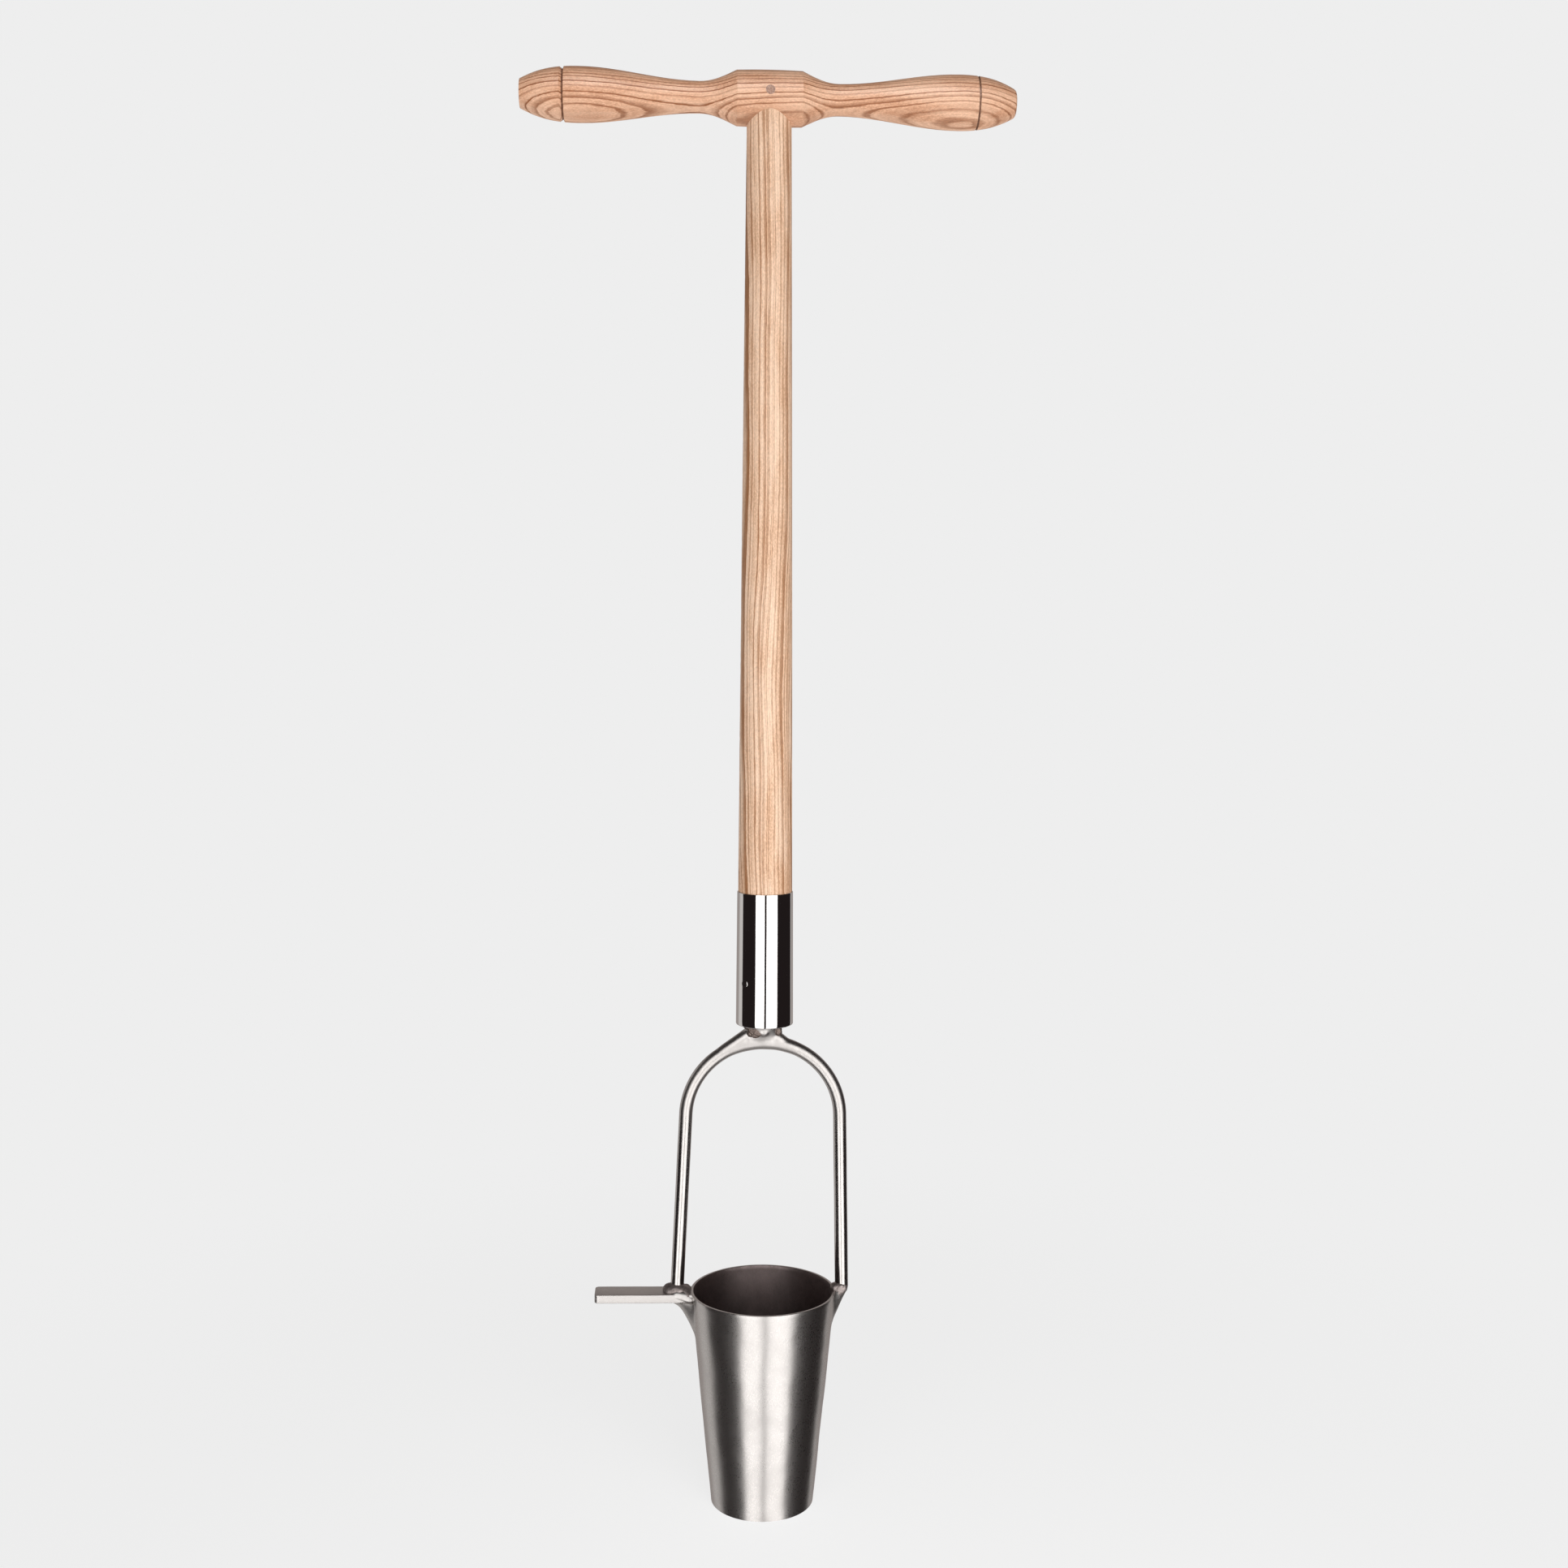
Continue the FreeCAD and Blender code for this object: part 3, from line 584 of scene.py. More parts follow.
SOCKET_FOOT_ROUND, SOCKET_MOUTH_ROUND = 0.0009, 0.0003
RIM_ROUND = 0.0004
STEP_CORNER, STEP_EDGE_ROUND = 0.0026, 0.0004
SHARP = 1.2

# The rod's right foot is ground off on a slope: how far inside its outer side and how high above the rim
GROUND_IN, GROUND_UP = 0.0001, 0.0026
# The skin round the crown lies outside the rod in the middle and inside it at its ends
SLEEVE_OUT, SLEEVE_IN, SLEEVE_REACH = 0.0004, 0.0028, radians(46)
# The saddle's neck, in millimetres: how far down, how far to the right, and half-widths along X and Y
NECK_TOP = 0.0010
NECK = (
    (0.0, -1.0, 12.0, 11.0), (3.4, -1.0, 11.9, 10.0), (6.4, -1.5, 12.9, 8.5), (9.4, -2.0, 14.4, 6.9),
    (12.4, -2.2, 16.3, 5.7), (15.2, -1.0, 16.5, 5.1), (17.4, 0.0, 11.0, 4.2))
# Its two runs along the rod: place along X, height over the crown and radius, in millimetres
SADDLE_RUNS = (
    ((-9.5, 6.4, 5.4), (-27.5, -5.6, 4.75), (-38.0, -13.8, 4.6), (-46.0, -22.6, 3.2)),
    ((5.0, 5.6, 5.4), (26.0, -8.4, 3.2)))
# Tables of lumps: middle and half-widths along X, Y and Z, in millimetres. The first two are over the crown
SADDLE_LUMP = ((-0.8, -7.8, 9.0, 3.6, 1.8, 3.0),)
BURNT_LUMPS = (
    (-8.8, -6.0, 10.4, 3.6, 2.3, 3.4), (-5.8, -7.5, 9.6, 3.4, 1.6, 3.4), (-9.4, -5.2, 7.4, 3.6, 2.1, 2.8),
    (-6.4, -6.7, 6.6, 3.6, 1.5, 2.4), (-4.2, -7.9, 8.0, 2.6, 1.1, 2.0), (9.6, -4.8, 8.8, 3.0, 2.0, 3.6))
LEFT_FOOT_LUMPS = (
    (-67.0, -0.6, 156.6, 5.4, 7.0, 4.6), (-63.6, -1.4, 157.4, 5.6, 6.6, 4.6),
    (-60.6, -2.4, 157.0, 6.0, 6.0, 4.6), (-61.5, 4.2, 157.0, 6.0, 4.4, 4.2))
STEP_RIM_LUMPS = (
    (-56.4, -2.4, 155.8, 4.4, 5.6, 4.2), (-55.6, 2.6, 155.6, 4.2, 5.6, 3.6),
    (-54.2, -5.6, 154.4, 2.9, 4.2, 2.8), (-53.9, 6.2, 154.2, 2.8, 4.0, 2.6))
STEP_SIDE_LUMPS = (
    (-64.6, -6.4, 153.6, 4.8, 2.6, 3.0), (-61.0, -6.2, 154.0, 5.4, 3.3, 4.2), (-58.0, -6.5, 153.6, 5.4, 3.2, 4.0),
    (-55.0, -6.9, 152.4, 4.8, 3.0, 3.6), (-52.6, -7.6, 151.2, 3.6, 2.6, 2.8), (-53.4, 8.7, 152.2, 3.2, 2.3, 3.6))
RIGHT_FOOT_LUMPS = (
    (56.0, -0.6, 158.2, 5.1, 5.4, 3.8), (51.6, -0.6, 156.6, 3.4, 4.8, 3.6), (56.8, -2.4, 156.8, 4.3, 3.4, 3.6),
    (55.4, -3.2, 155.4, 3.9, 2.9, 3.4), (54.2, -3.8, 154.2, 3.2, 2.5, 3.2), (56.0, 2.4, 157.2, 4.5, 3.8, 3.8))
# The beads round the neck: how many, first angle, next angle, the ellipse they lie on and how far down
NECK_BEADS, FIRST_BEAD, NEXT_BEAD = 13, -20, 18
BEAD_ACROSS, BEAD_ALONG, BEAD_SHIFT, BEAD_DROP = 0.0118, 0.0101, 0.001, 0.0022
BEAD_SIZE = (0.0022, 0.0022, 0.0019)

# The levels of the lugs, from the top down: height, reach from the wall and half-width along it, in millimetres
LEFT_LUG = (
    (149.6, 16.8, 7.6), (148.6, 14.4, 7.8), (147.2, 11.8, 7.8), (145.2, 9.5, 7.8), (142.4, 7.6, 7.6),
    (138.5, 5.8, 7.2), (134.0, 4.0, 6.6), (129.5, 2.1, 6.0), (125.0, 0.6, 5.4), (121.0, 0.0, 5.0))
RIGHT_LUG = (
    (155.2, 8.6, 4.4), (152.0, 7.2, 4.6), (148.0, 5.7, 4.7), (144.0, 4.4, 4.7), (140.0, 3.1, 4.6),
    (135.5, 1.6, 4.4), (130.0, 0.0, 4.0))
RIGHT_LUG_SLOPE = 0.44
# A lug starts as a strip between two depths below the wall's face, in millimetres, and it runs into the wall
# over a share of its half-width
LUG_SKIN, LUG_BACK, LUG_CUT = 0.12, 1.5, 0.044
LUG_FLAT, LUG_FALL, LUG_SOFTENING = 0.35, 1.55, 24


class PLANTER_OT_crossbar(bpy.types.Operator):
    """Finish the turned crossbar and the peg in its middle"""
    bl_idname = "planter.crossbar"
    bl_label = "Crossbar"

    def execute(self, context):
        look = context.scene.planter_wood
        dress("crossbar_handle", ash(
            "turned_ash", look, (look.crossbar_pale_tone, look.crossbar_deep_tone, look.crossbar_ring_tone),
            rotation=(radians(BOARD_TURN), radians(BOARD_SKEW), 0), location=(0, 0, CROSSBAR_SHIFT),
            spacing=look.crossbar_ring_spacing, line_depth=1.0, wander=0.010, jumble=1.1,
            grooves=(V_GROOVE_BOTTOM, SAW_GROOVE_MIDDLE)))
        dress("handle_dowel", end_grain("peg_end", look))
        return {"FINISHED"}


class PLANTER_OT_shaft(bpy.types.Operator):
    """Finish the tapered shaft"""
    bl_idname = "planter.shaft"
    bl_label = "Shaft"

    def execute(self, context):
        look = context.scene.planter_wood
        dress("shaft", ash(
            "shaft_ash", look, (look.shaft_pale_tone, look.shaft_deep_tone, look.shaft_ring_tone),
            rotation=(0, radians(90), 0), location=(0, 0, SHAFT_SHIFT),
            spacing=look.shaft_ring_spacing, line_depth=0.95, wander=0.016, jumble=2.4))
        return {"FINISHED"}


class PLANTER_OT_socket(bpy.types.Operator):
    """Spin the polished socket, and finish its end disc and its pin"""
    bl_idname = "planter.socket"
    bl_label = "Socket"

    def execute(self, context):
        look, size = context.scene.planter_metal, context.scene.planter_sizes
        low, high = (corner.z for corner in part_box("socket_tube"))
        foot, mouth, wall = size.socket_foot_radius, size.socket_mouth_radius, size.socket_wall
        tube = spun([
            (foot, 0, low), (mouth, 0, high), (mouth - wall, 0, high), (foot - wall, 0, low)], SOCKET_STEPS)
        bevelled(tube, SOCKET_FOOT_ROUND, lambda edge: all(
            vert.co.z < low + MM and vert.co.to_2d().length > foot - 0.2 * MM for vert in edge.verts), 5)
        bevelled(tube, SOCKET_MOUTH_ROUND, above(high - 0.1 * MM))
        divided(tube, 2, 40 * MM, SOCKET_ROWS)
        uneven(tube, 0.00003, 0.022, 3.0, outward)
        piece("polished_socket", tube, steel(
            "polished_steel", look.polished_tone, 0.045, 0.03, depth=0, blotch=0.05,
        ), "polished_steel", "socket_tube", crease=50)
        dress("socket_end_disc", steel("end_disc_steel", look.satin_tone, 0.3))
        dress("socket_pin", steel("pin_steel", look.polished_tone, 0.12, 0.05, depth=0))
        return {"FINISHED"}


def leg_down(side, size):
    """The direction down a leg. side is 1 for the right leg and -1 for the left."""
    lean = size.right_lean if side > 0 else size.left_lean
    return Vector((side * sin(lean), 0, -cos(lean)))


def leg_foot(side, size):
    return Vector((size.right_foot if side > 0 else -size.left_foot, 0, size.cup_height))


def bend_radius(size):
    """The radius that joins both leaning legs to the flat of the crown."""
    rise = size.crown_height - size.cup_height
    right, left = size.right_lean, size.left_lean
    span = size.right_foot + size.left_foot - rise * (tan(right) + tan(left)) - size.crown_flat
    return span / (1 / cos(right) - tan(right) + 1 / cos(left) - tan(left))


def bend_centre(side, size):
    radius = bend_radius(size)
    lean = size.right_lean if side > 0 else size.left_lean
    drop = size.crown_height - radius - size.cup_height
    leg_x = leg_foot(side, size).x - side * drop * tan(lean)
    return Vector((leg_x - side * radius / cos(lean), 0, size.crown_height - radius))


def bent_rod(size):
    """The bail's rod: up the left leg, over the crown and down the right leg."""
    work = bmesh.new()
    down = leg_down(-1, size)
    start = leg_foot(-1, size) + down * size.rod_radius
    edges = ring(work, start, size.rod_radius, size.rod_radius, ROD_SIDES, down)
    radius = bend_radius(size)
    left, right = bend_centre(-1, size), bend_centre(1, size)
    leg_top = left + Vector((down.z, 0, -down.x)) * radius
    edges = drawn_out(work, edges, leg_top - start, LEG_ROWS)
    edges = bent(work, edges, left, pi / 2 - size.left_lean, BEND_ROWS)
    edges = drawn_out(work, edges, Vector((right.x - left.x, 0, 0)))
    edges = bent(work, edges, right, pi / 2 - size.right_lean, BEND_ROWS)
    down = leg_down(1, size)
    leg_top = right + Vector((-down.z, 0, down.x)) * radius
    drawn_out(work, edges, leg_foot(1, size) + down * size.rod_radius - leg_top, LEG_ROWS)
    closed(work)
    cut_off(work, UP * size.cup_height, -UP)
    ground = Vector((size.right_foot + size.rod_radius - GROUND_IN, 0, size.cup_height + GROUND_UP))
    cut_off(work, ground, Vector((1, 0, -RIGHT_LUG_SLOPE)))
    return work


def crown_sleeve(work, size, middle, end, reach):
    """Add a skin round the rod's crown, whose radius goes from middle to end over an angle to each side."""
    radius = bend_radius(size)
    left, right = bend_centre(-1, size), bend_centre(1, size)
    start = left + Vector((-sin(reach), 0, cos(reach))) * radius
    edges = ring(work, start, middle, middle, SLEEVE_SIDES, Vector((cos(reach), 0, sin(reach))))
    edges = bent(work, edges, left, reach, SLEEVE_ROWS)
    edges = drawn_out(work, edges, Vector((right.x - left.x, 0, 0)))
    bent(work, edges, right, reach, SLEEVE_ROWS)
    closed(work)
    for vert in work.verts:
        centre = Vector((min(max(vert.co.x, left.x), right.x), 0, left.z))
        arm = Vector((vert.co.x - centre.x, 0, vert.co.z - centre.z))
        on_line = centre + arm.normalized() * radius
        share = abs(atan2(arm.x, arm.z)) / reach
        vert.co = on_line + (vert.co - on_line) * (1 + (end / middle - 1) * share ** 4)


def saddle_skin(size, under_socket):
    """Ground weld metal that runs from the socket's foot into the rod: nearly straight down the left side and
    hollow on the right."""
    work = bmesh.new()
    crown_sleeve(work, size, size.rod_radius + SLEEVE_OUT, size.rod_radius - SLEEVE_IN, SLEEVE_REACH)
    top = under_socket + NECK_TOP
    stacked(work, [(Vector((shift * MM, 0, top - drop * MM)), across * MM, along * MM)
                   for drop, shift, across, along in NECK])
    crown = size.crown_height
    for run in SADDLE_RUNS:
        ends = [(Vector((x * MM, 0, crown + rise * MM)), radius * MM) for x, rise, radius in run]
        for (start, start_radius), (end, end_radius) in zip(ends, ends[1:]):
            strut(work, start, end, start_radius, end_radius)
        for centre, radius in ends:
            lump(work, centre, (radius, radius, radius))
    lumps(work, SADDLE_LUMP, crown)
    return melted(work, SADDLE_GRAIN, 20)


def saddle_beads(size, under_socket):
    """The rough metal that the grinder left: a patch at the front left of the neck and a bead round the back."""
    work = bmesh.new()
    lumps(work, BURNT_LUMPS, size.crown_height)
    for number in range(NECK_BEADS):
        angle = radians(FIRST_BEAD + number * NEXT_BEAD)
        x, y = cos(angle) * BEAD_ACROSS - BEAD_SHIFT, sin(angle) * BEAD_ALONG
        lump(work, Vector((x, y, under_socket - BEAD_DROP)), BEAD_SIZE)
    return melted(work, WELD_GRAIN, 22)


class PLANTER_OT_bail(bpy.types.Operator):
    """Bend the rod, and melt the saddle that joins it to the socket"""
    bl_idname = "planter.bail"
    bl_label = "Bail"

    def execute(self, context):
        look, size = context.scene.planter_metal, context.scene.planter_sizes
        rod_steel = steel(
            "rod_steel", look.satin_tone, 0.21, 0.06, (600, 600, 200), depth=0.000006, blotch=0.25, speckle=0.15,
            brushed=(size.crown_height - 0.085, size.crown_height - 0.030, 0.35))
        rod = bent_rod(size)
        uneven(rod, 0.00008, 0.03, 7.0)
        piece("bent_rod", rod, rod_steel, "rod_steel", "bail_rod", crease=50)
        under_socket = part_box("socket_tube")[0].z
        saddle = saddle_skin(size, under_socket)
        cut_off(saddle, UP * under_socket, UP)
        uneven(saddle, 0.00022, 0.008, 11.0, amount=lambda point: max(0.0, 1 - abs(point.x) / 0.024))
        piece("ground_saddle", saddle, rod_steel, "saddle_steel", "bail_saddle")
        beads = saddle_beads(size, under_socket)
        cut_off(beads, UP * under_socket, UP)
        uneven(beads, 0.0003, 0.0012, 12.0)
        piece("rough_beads", beads, steel(
            "bead_steel", look.burnt_tone, 0.5, 0.14, (900, 900, 900), depth=0.00003, blotch=0.6, speckle=0.5,
        ), "weld_metal", "saddle_bead")
        return {"FINISHED"}


def cup_slant(size):
    """How far the cup's wall goes out for each metre that it rises."""
    return (size.rim_radius - size.edge_radius) / size.cup_height


class PLANTER_OT_cup(bpy.types.Operator):
    """Spin the tapered cup, with its edge bevelled inside and its seam at the back"""
    bl_idname = "planter.cup"
    bl_label = "Cup"

    def execute(self, context):
        look, size = context.scene.planter_metal, context.scene.planter_sizes
        high, slant = size.cup_height, cup_slant(size)
        shell = spun([
            (size.edge_radius, 0, 0),
            (size.rim_radius, 0, high),
            (size.rim_radius - size.cup_wall, 0, high),
            (size.edge_radius - size.cup_wall + size.bevel_height * slant, 0, size.bevel_height),
            (size.edge_radius - size.edge_land, 0, 0),
        ], CUP_STEPS)
        bevelled(shell, RIM_ROUND, above(high - 0.1 * MM))
        divided(shell, 2, 100 * MM, CUP_ROWS)

        def off_the_edge(point):
            return min(1.0, point.z / 0.008)

        uneven(shell, 0.00034, 0.034, 1.0, outward, off_the_edge)
        uneven(shell, 0.00007, 0.009, 2.0, outward, off_the_edge)
        piece("cup_shell", shell, steel(
            "cup_steel", look.satin_tone, 0.29, 0.05, (1100, 1100, 700), depth=0, speckle=0.16,
        ), "cup_steel", "cup", crease=40, inside=steel(
            "cup_inside", look.scale_tone, 0.45, 0.15, (700, 700, 500), depth=0.00001, blotch=0.7, speckle=0.3))

        bead = bmesh.new()
        start = Vector((0, size.edge_radius - 0.00035, 0.0012))
        edges = ring(bead, start, 0.0016, 0.0005, SEAM_SIDES)
        drawn_out(bead, edges, Vector((0, slant, 1)) * (high - 0.0020 - start.z), SEAM_ROWS)
        closed(bead)
        uneven(bead, 0.00025, 0.0016, 5.0, outward)
        piece("seam_bead", bead, steel(
            "seam_steel", look.satin_tone, 0.34, 0.12, blotch=0.5, depth=0.00004,
        ), "cup_steel", "cup_seam_weld")
        return {"FINISHED"}


class PLANTER_OT_step(bpy.types.Operator):
    """Cut the foot step from flat bar"""
    bl_idname = "planter.step"
    bl_label = "Foot step"

    def execute(self, context):
        look, size = context.scene.planter_metal, context.scene.planter_sizes
        outer = -(size.rim_radius + size.step_length)
        inner = -(size.rim_radius - 0.0011)
        middle = Vector(((outer + inner) / 2, 0, size.cup_height - size.step_thickness / 2))
        bar = bmesh.new()
        bmesh.ops.create_cube(bar, size=1.0, matrix=Matrix.Translation(middle) @ Matrix.Diagonal(
            (inner - outer, size.step_width, size.step_thickness, 1)))
        bevelled(bar, STEP_CORNER, lambda edge: all(
            vert.co.x < middle.x for vert in edge.verts) and abs(edge.verts[0].co.z - edge.verts[1].co.z) > MM, 6)
        bevelled(bar, STEP_EDGE_ROUND, lambda edge: edge.calc_face_angle(0) > SHARP)
        divided(bar, 0, 20 * MM, STEP_ROWS)
        uneven(bar, 0.00012, 0.016, 9.0, lambda point: UP)
        tilt = Matrix.Rotation(size.step_tilt, 4, "Y")
        hinge = Matrix.Translation(Vector((-size.rim_radius, 0, size.cup_height)))
        bmesh.ops.transform(bar, matrix=hinge @ tilt @ hinge.inverted(), verts=bar.verts)
        piece("foot_bar", bar, steel(
            "step_steel", look.satin_tone, 0.38, 0.07, (1900, 160, 60), depth=0.000016,
        ), "step_steel", "foot_step", crease=35)
        return {"FINISHED"}


def between_levels(levels, height):
    """The reach and the half-width at a height, read off levels that are listed from the top down."""
    for (high, *above), (low, *below) in zip(levels, levels[1:]):
        if height >= low:
            break
    share = min(1.0, max(0.0, (high - height) / (high - low)))
    return [start + (end - start) * share for start, end in zip(above, below)]


def gusset(size, side, levels):
    """A lug that swells out of the cup's wall and runs into it on all sides. It starts as a strip that lies
    inside the wall, and its outer face is drawn outwards."""
    top, foot = levels[0][0], levels[-1][0]
    heights = [foot + (top - foot) * row / LUG_ROWS for row in range(LUG_ROWS + 1)]
    table = [between_levels(levels, height) for height in heights]
    for _ in range(LUG_SOFTENING):
        table[1:-1] = [
            [(before + 2 * value + after) / 4 for before, value, after in zip(*near)]
            for near in zip(table, table[1:], table[2:])]

    def wall_at(height):
        return size.edge_radius / MM + height * cup_slant(size)

    outside = [((wall_at(height) - LUG_SKIN) * MM, 0, height * MM) for height in heights]
    back = [((wall_at(height) - LUG_BACK) * MM, 0, height * MM) for height in (top, foot)]
    work = spun(outside + back, LUG_STEPS)
    cut_off(work, ALONG_X * side * LUG_CUT, -ALONG_X * side)
    for vert in work.verts:
        height = vert.co.z / MM
        if vert.co.to_2d().length / MM < wall_at(height) - 0.5:
            continue
        reach, half = table[round((height - foot) / (top - foot) * LUG_ROWS)]
        off = atan2(abs(vert.co.y), abs(vert.co.x)) * wall_at(height)
        share = min(1.0, max(0.0, (off / half - LUG_FLAT) / LUG_FALL))
        vert.co += outward(vert.co) * (reach * (1 - share * share * (3 - 2 * share)) * MM)
    return work


class PLANTER_OT_welds(bpy.types.Operator):
    """Melt the beads at the rim, and swell the lugs out of the cup's wall"""
    bl_idname = "planter.welds"
    bl_label = "Welds"

    def execute(self, context):
        look, size = context.scene.planter_metal, context.scene.planter_sizes
        lug = steel("lug_steel", look.satin_tone, 0.42, 0.08, (1100, 1100, 700), depth=0.000004, speckle=0.2)

        def off_the_wall(point):
            wall = size.edge_radius + point.z * cup_slant(size)
            return min(1.0, max(0.0, (point.to_2d().length - wall) / MM))

        for name, side, levels, seed, node in (
                ("left_lug", -1, LEFT_LUG, 13.0, "left_leg_lug"),
                ("right_lug", 1, RIGHT_LUG, 17.0, "right_leg_lug")):
            work = gusset(size, side, levels)
            uneven(work, 0.0002, 0.008, seed, amount=off_the_wall)
            piece(name, work, lug, "satin_steel", node)

        dark, pink = (steel(name, tone, roughness, spread, (800, 800, 800), 0.000012, 0.6, 0.5) for (
            name, tone, roughness, spread) in (
                ("weld_metal", look.weld_tone, 0.58, 0.12), ("bright_weld", look.bright_weld_tone, 0.50, 0.14)))
        ground = steel("ground_weld", look.satin_tone, 0.40, 0.08, depth=0.000006)

        for name, node, finish, table, seed, ripple, rounds in (
                ("left_foot_weld", "left_leg_bead", dark, LEFT_FOOT_LUMPS, 21.0, 0.00025, 80),
                ("step_rim_weld", "step_top_weld", dark, STEP_RIM_LUMPS, 23.0, 0.00025, 60),
                ("step_side_weld", "step_side_welds", ground, STEP_SIDE_LUMPS, 25.0, 0.00005, 70),
                ("right_foot_weld", "right_leg_beads", pink, RIGHT_FOOT_LUMPS, 27.0, 0.00022, 26)):
            work = bmesh.new()
            lumps(work, table)
            work = melted(work, WELD_GRAIN, rounds)
            uneven(work, ripple, 0.0030, seed)
            uneven(work, ripple * 0.5, 0.0010, seed + 1)
            piece(name, work, finish, "weld_metal", node)
        return {"FINISHED"}


# Studio

CAMERA_PLACE = Vector((-0.057406, -1.280749, 0.630609))
CAMERA_RIGHT = Vector((0.99850693, -0.05427228, 0.00619996))
CAMERA_FORWARD = Vector((0.05460327, 0.9948755, -0.08509532))
CAMERA_UP = Vector((-0.00154987, 0.08530681, 0.99635352))
CAMERA_BEARING = atan2(CAMERA_PLACE.x, -CAMERA_PLACE.y)
LAMP_DISTANCE = 2.6
LAMP_LOW, LAMP_HIGH = -2.4, 2.2
LAMP_TINT = (1.0, 0.995, 0.985)
# Directions round the tool, in degrees from the camera: negative is to the camera's left
LEFT_LAMP = (-38.0, -1.2)
RIGHT_LAMP = (6.8, 52.0)
LEFT_DARK = (-103.0, -38.0)
RIGHT_DARK = (52.0, 130.0)
MIDDLE_DARK = (-1.2, 6.8)
SOFT_EDGE, CRISP_EDGE = 2.0, 0.5
# The other lamps: how far out, how high, the direction round the tool, and the lamp's width and height
FRONT_LAMP = (1.0, 0.35, 18.0, 0.6, 0.9)
CROSSBAR_LAMP = (1.5, 1.75, 0.0, 1.2, 0.7)
SHINE_LAMP = (1.3, 2.05, 0.0, 1.6, 0.4)
# What metal mirrors: the room, the dark cloths and what is behind the tool
ROOM_TONE, CLOTH_TONE, BEHIND_TONE = (0.62, 0.60, 0.585, 1), (0.016, 0.012, 0.012, 1), (0.36, 0.325, 0.31, 1)
CLOTH_ABOVE, BEHIND = (0.35, 0.60), (0.55, 0.75)
FILL_TINT = (1.0, 0.99, 0.98)
# The floor: half its width, how much of its colour takes light, and where it turns into the background
FLOOR_HALF, FLOOR_SHARE, FLOOR_FADE = 12.0, 0.3, (0.25, 0.9)


def soft_lamp(name, place, aim, width, height, level):
    """A soft lamp that faces a point. level is its brightness as the tool sees it."""
    light = bpy.data.lights.new(name, "AREA")
    light.shape = "RECTANGLE"
    light.size = width
    light.size_y = height
    light.energy = level * width * height * pi
    light.color = LAMP_TINT
    lamp = placed(name, light)
    lamp.matrix_world = facing(place, place - aim)
    lamp.visible_camera = False
    return lamp


def tall_lamp(name, bearings, level):
    """A tall lamp that fills the bearings between two directions."""
    low, high = bearings
    width = 2 * LAMP_DISTANCE * tan(radians(high - low) / 2)
    aim = UP * (LAMP_LOW + LAMP_HIGH) / 2
    place = aim + toward((low + high) / 2) * LAMP_DISTANCE
    return soft_lamp(name, place, aim, width, LAMP_HIGH - LAMP_LOW, level)


def near_lamp(name, setting, aim, level):
    """One of the other lamps, which faces a height on the tool's axis."""
    out, high, bearing, width, height = setting
    return soft_lamp(name, toward(bearing) * out + UP * high, UP * aim, width, height, level)


def toward(bearing):
    """The level direction from the tool that lies so many degrees round from the camera."""
    angle = CAMERA_BEARING + radians(bearing)
    return Vector((sin(angle), -cos(angle), 0))


def limit_to(lamp, nodes, state):
    """Let a lamp light only some nodes of the frame, or with EXCLUDE everything but them."""
    group = bpy.data.collections.new(lamp.name)
    for node in nodes:
        group.objects.link(NODES[node])
    for entry in group.collection_objects:
        entry.light_linking.link_state = state
    lamp.light_linking.receiver_collection = group


class Surround(Finish):
    """The world's shader, which has a background in place of a surface."""

    def __init__(self, world):
        self.tree = world.node_tree
        self.tree.nodes.clear()


def studio_world(look):
    """Pale all round for the camera; for metal, also the dark cloths that stand beside the lamps."""
    world = bpy.data.worlds.new("studio")
    world.use_nodes = True
    bpy.context.scene.world = world
    world.cycles.sampling_method = "NONE"
    sky = Surround(world)
    direction = sky.node("ShaderNodeTexCoord", output="Generated")
    bearing = sky.sum("ARCTAN2", sky.part(direction, 0), sky.part(direction, 1) * -1.0)
    bearing = bearing * (180 / pi) - degrees(CAMERA_BEARING)

    def cloth(bearings, soft):
        low, high = bearings
        return sky.band(bearing, (low - soft, low + soft), (high - soft, high + soft))

    dark = sky.sum("MAXIMUM", cloth(LEFT_DARK, SOFT_EDGE), cloth(RIGHT_DARK, SOFT_EDGE))
    dark = sky.sum("MAXIMUM", dark, cloth(MIDDLE_DARK, CRISP_EDGE))
    dark = sky.sum("MAXIMUM", dark, sky.ease(sky.part(direction, 2), *CLOTH_ABOVE))
    seen_by_metal = sky.between(dark, ROOM_TONE, CLOTH_TONE)
    seen_by_metal = sky.between(sky.ease(sky.part(direction, 1), *BEHIND), seen_by_metal, BEHIND_TONE)
    fill = opaque(look.fill_level * part for part in FILL_TINT)
    mirrored = sky.node("ShaderNodeLightPath", output="Is Glossy Ray")
    seen = sky.node("ShaderNodeLightPath", output="Is Camera Ray")
    colour = sky.between(seen, sky.between(mirrored, fill, seen_by_metal), opaque(look.background))
    background = sky.node("ShaderNodeBackground", sockets={"Color": colour, "Strength": 1.0})
    output = sky.tree.nodes.new("ShaderNodeOutputWorld")
    sky.tree.links.new(background.socket, output.inputs["Surface"])


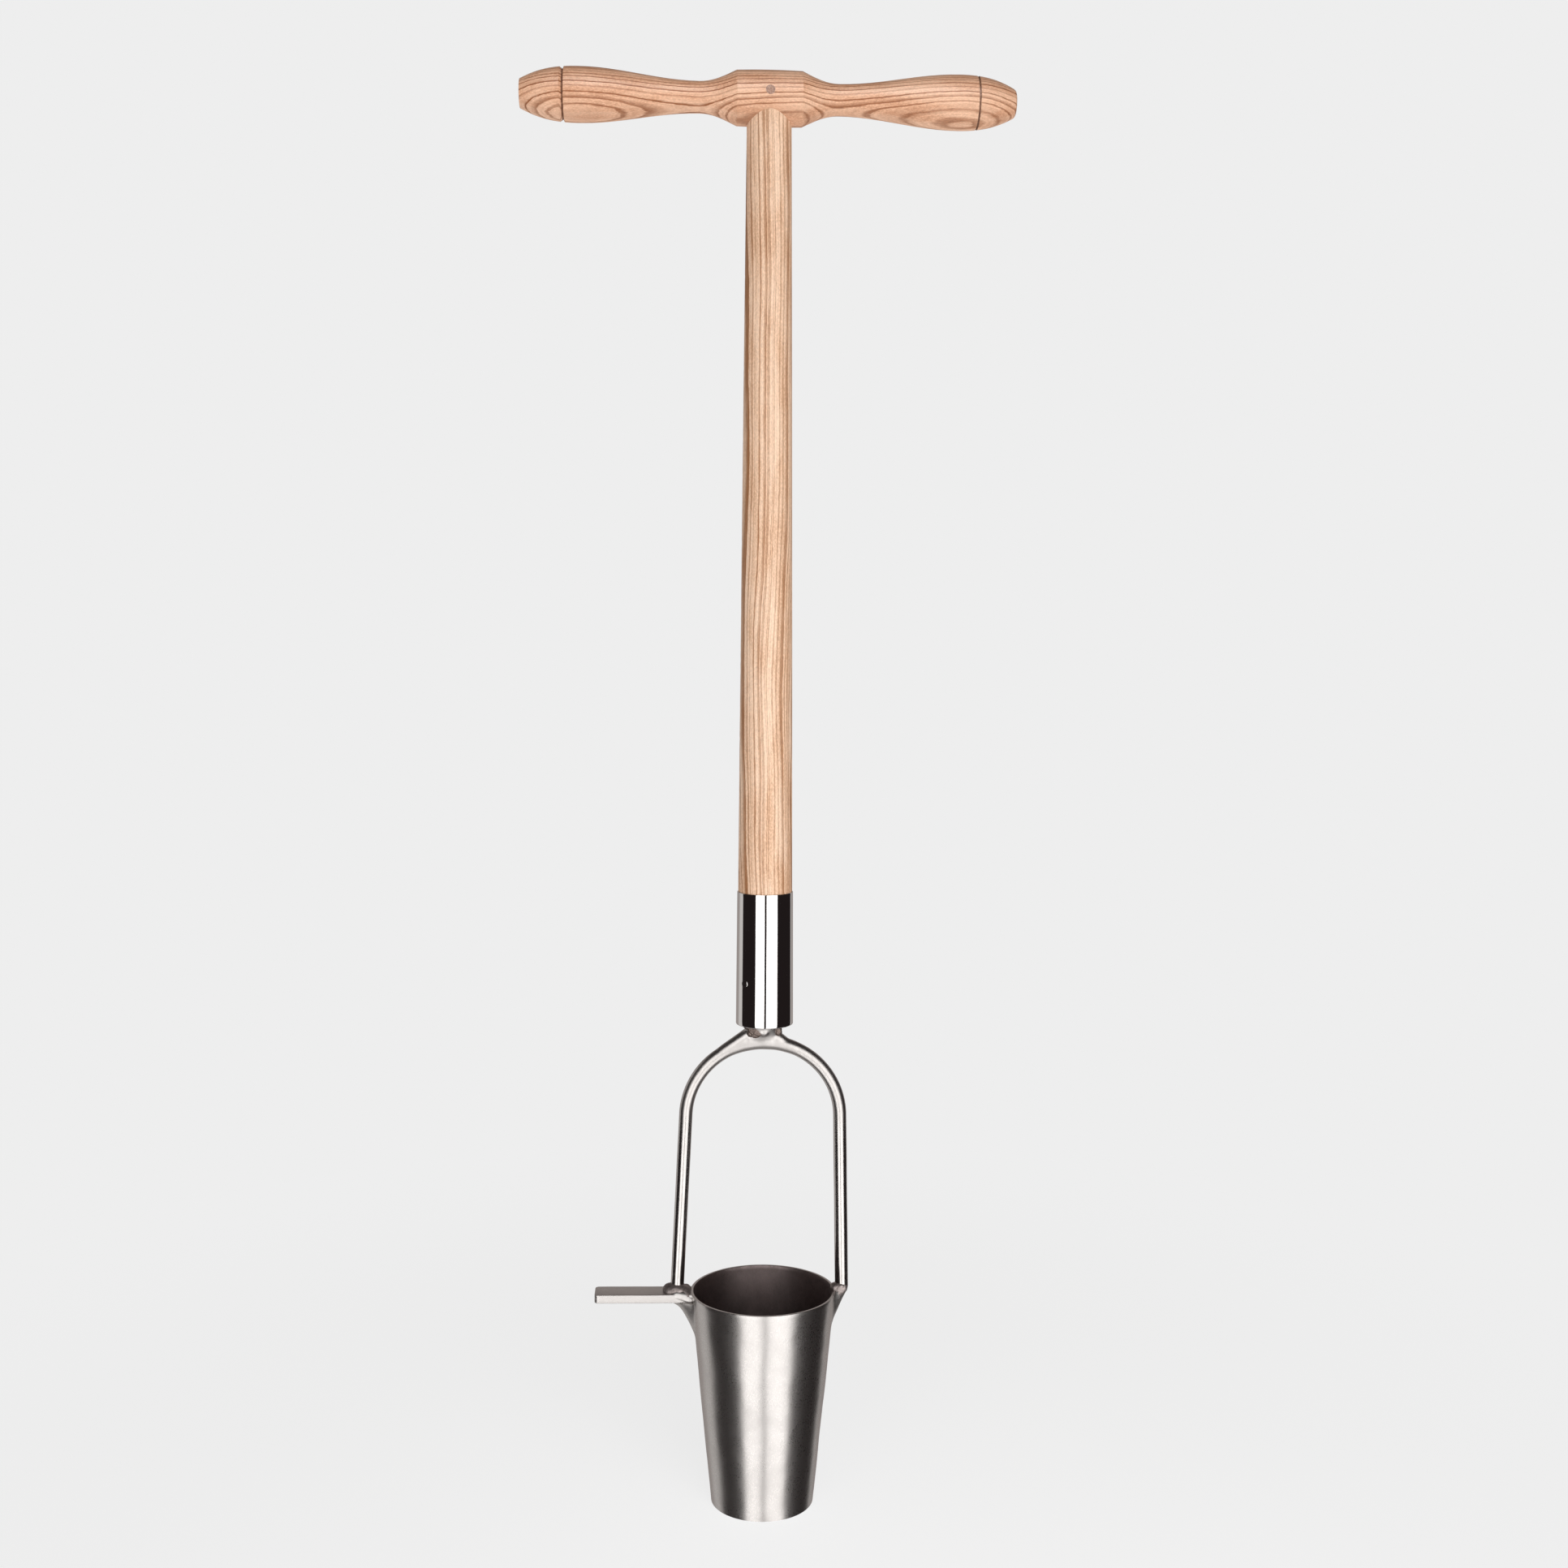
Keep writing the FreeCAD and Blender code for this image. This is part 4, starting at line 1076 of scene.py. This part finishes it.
def floor_paper(look):
    """Pale paper: near the tool it takes a shadow, and further off it is as bright as the background."""
    paper = Finish("floor_paper")
    pale = opaque(look.background)
    paper.set(
        Base_Color=opaque(FLOOR_SHARE * part for part in look.background), Roughness=1.0, Specular_IOR_Level=0.0,
        Emission_Color=pale, Emission_Strength=look.floor_glow)
    away = paper.node("ShaderNodeVectorMath", {"operation": "LENGTH"}, {0: paper.here}, "Value")
    glow = paper.node("ShaderNodeEmission", sockets={"Color": pale, "Strength": 1.0})
    both = paper.node("ShaderNodeMixShader", sockets={0: paper.ease(away, *FLOOR_FADE)})
    output = next(node for node in paper.tree.nodes if node.type == "OUTPUT_MATERIAL")
    mixer = both.socket.node
    paper.tree.links.new(paper.shader.outputs["BSDF"], mixer.inputs[1])
    paper.tree.links.new(glow.socket, mixer.inputs[2])
    paper.tree.links.new(both.socket, output.inputs["Surface"])
    return paper.material


class PLANTER_OT_stage(bpy.types.Operator):
    """Set the floor, the lamps, the surround and the camera"""
    bl_idname = "planter.stage"
    bl_label = "Studio"

    def execute(self, context):
        look = context.scene.planter_studio
        work = bmesh.new()
        bmesh.ops.create_grid(work, x_segments=1, y_segments=1, size=FLOOR_HALF)
        floor = placed("floor", mesh_of("floor", work))
        floor.visible_glossy = False
        floor.visible_shadow = False
        floor.data.materials.append(floor_paper(look))

        crossbar = ("crossbar_handle", "handle_dowel")
        for name, bearings in (("left_lamp", LEFT_LAMP), ("right_lamp", RIGHT_LAMP)):
            limit_to(tall_lamp(name, bearings, look.lamp_level), crossbar, "EXCLUDE")
        low = near_lamp("front_lamp", FRONT_LAMP, FRONT_LAMP[1], look.front_level)
        low.visible_glossy = False
        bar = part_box("crossbar_handle")[0].z
        high = near_lamp("crossbar_lamp", CROSSBAR_LAMP, bar, look.crossbar_level)
        high.visible_glossy = False
        limit_to(high, crossbar, "INCLUDE")
        shine = near_lamp("shine_lamp", SHINE_LAMP, bar, look.shine_level)
        shine.visible_diffuse = False
        limit_to(shine, crossbar, "INCLUDE")
        studio_world(look)

        lens = bpy.data.cameras.new("camera")
        lens.sensor_width = 36.0
        lens.lens = look.lens
        camera = placed("camera", lens)
        turn = Matrix((CAMERA_RIGHT, CAMERA_UP, -CAMERA_FORWARD)).transposed().to_4x4()
        camera.matrix_world = Matrix.Translation(CAMERA_PLACE) @ turn
        context.scene.camera = camera
        context.scene.view_settings.view_transform = "Standard"
        return {"FINISHED"}


OPERATORS = (
    PLANTER_OT_crossbar,
    PLANTER_OT_shaft,
    PLANTER_OT_socket,
    PLANTER_OT_bail,
    PLANTER_OT_cup,
    PLANTER_OT_step,
    PLANTER_OT_welds,
    PLANTER_OT_stage,
)
SETTINGS = {
    "planter_sizes": PLANTER_PG_sizes,
    "planter_wood": PLANTER_PG_wood,
    "planter_metal": PLANTER_PG_metal,
    "planter_studio": PLANTER_PG_studio,
}


class PLANTER_PT_panel(bpy.types.Panel):
    """Settings and pieces of the planter"""
    bl_idname = "PLANTER_PT_panel"
    bl_label = "Potato planter"
    bl_space_type = "VIEW_3D"
    bl_region_type = "UI"
    bl_category = "Planter"

    def draw(self, context):
        for name, group in SETTINGS.items():
            box = self.layout.box()
            for setting in group.__annotations__:
                box.prop(getattr(context.scene, name), setting)
        for operator in OPERATORS:
            self.layout.operator(operator.bl_idname)


def register():
    for group in (*SETTINGS.values(), *OPERATORS, PLANTER_PT_panel):
        bpy.utils.register_class(group)
    for name, group in SETTINGS.items():
        setattr(bpy.types.Scene, name, bpy.props.PointerProperty(type=group))


def unregister():
    for name in SETTINGS:
        delattr(bpy.types.Scene, name)
    for group in reversed((*SETTINGS.values(), *OPERATORS, PLANTER_PT_panel)):
        bpy.utils.unregister_class(group)


def main():
    register()
    for operator in OPERATORS:
        group, name = operator.bl_idname.split(".")
        getattr(getattr(bpy.ops, group), name)()


if __name__ == "__main__":
    main()
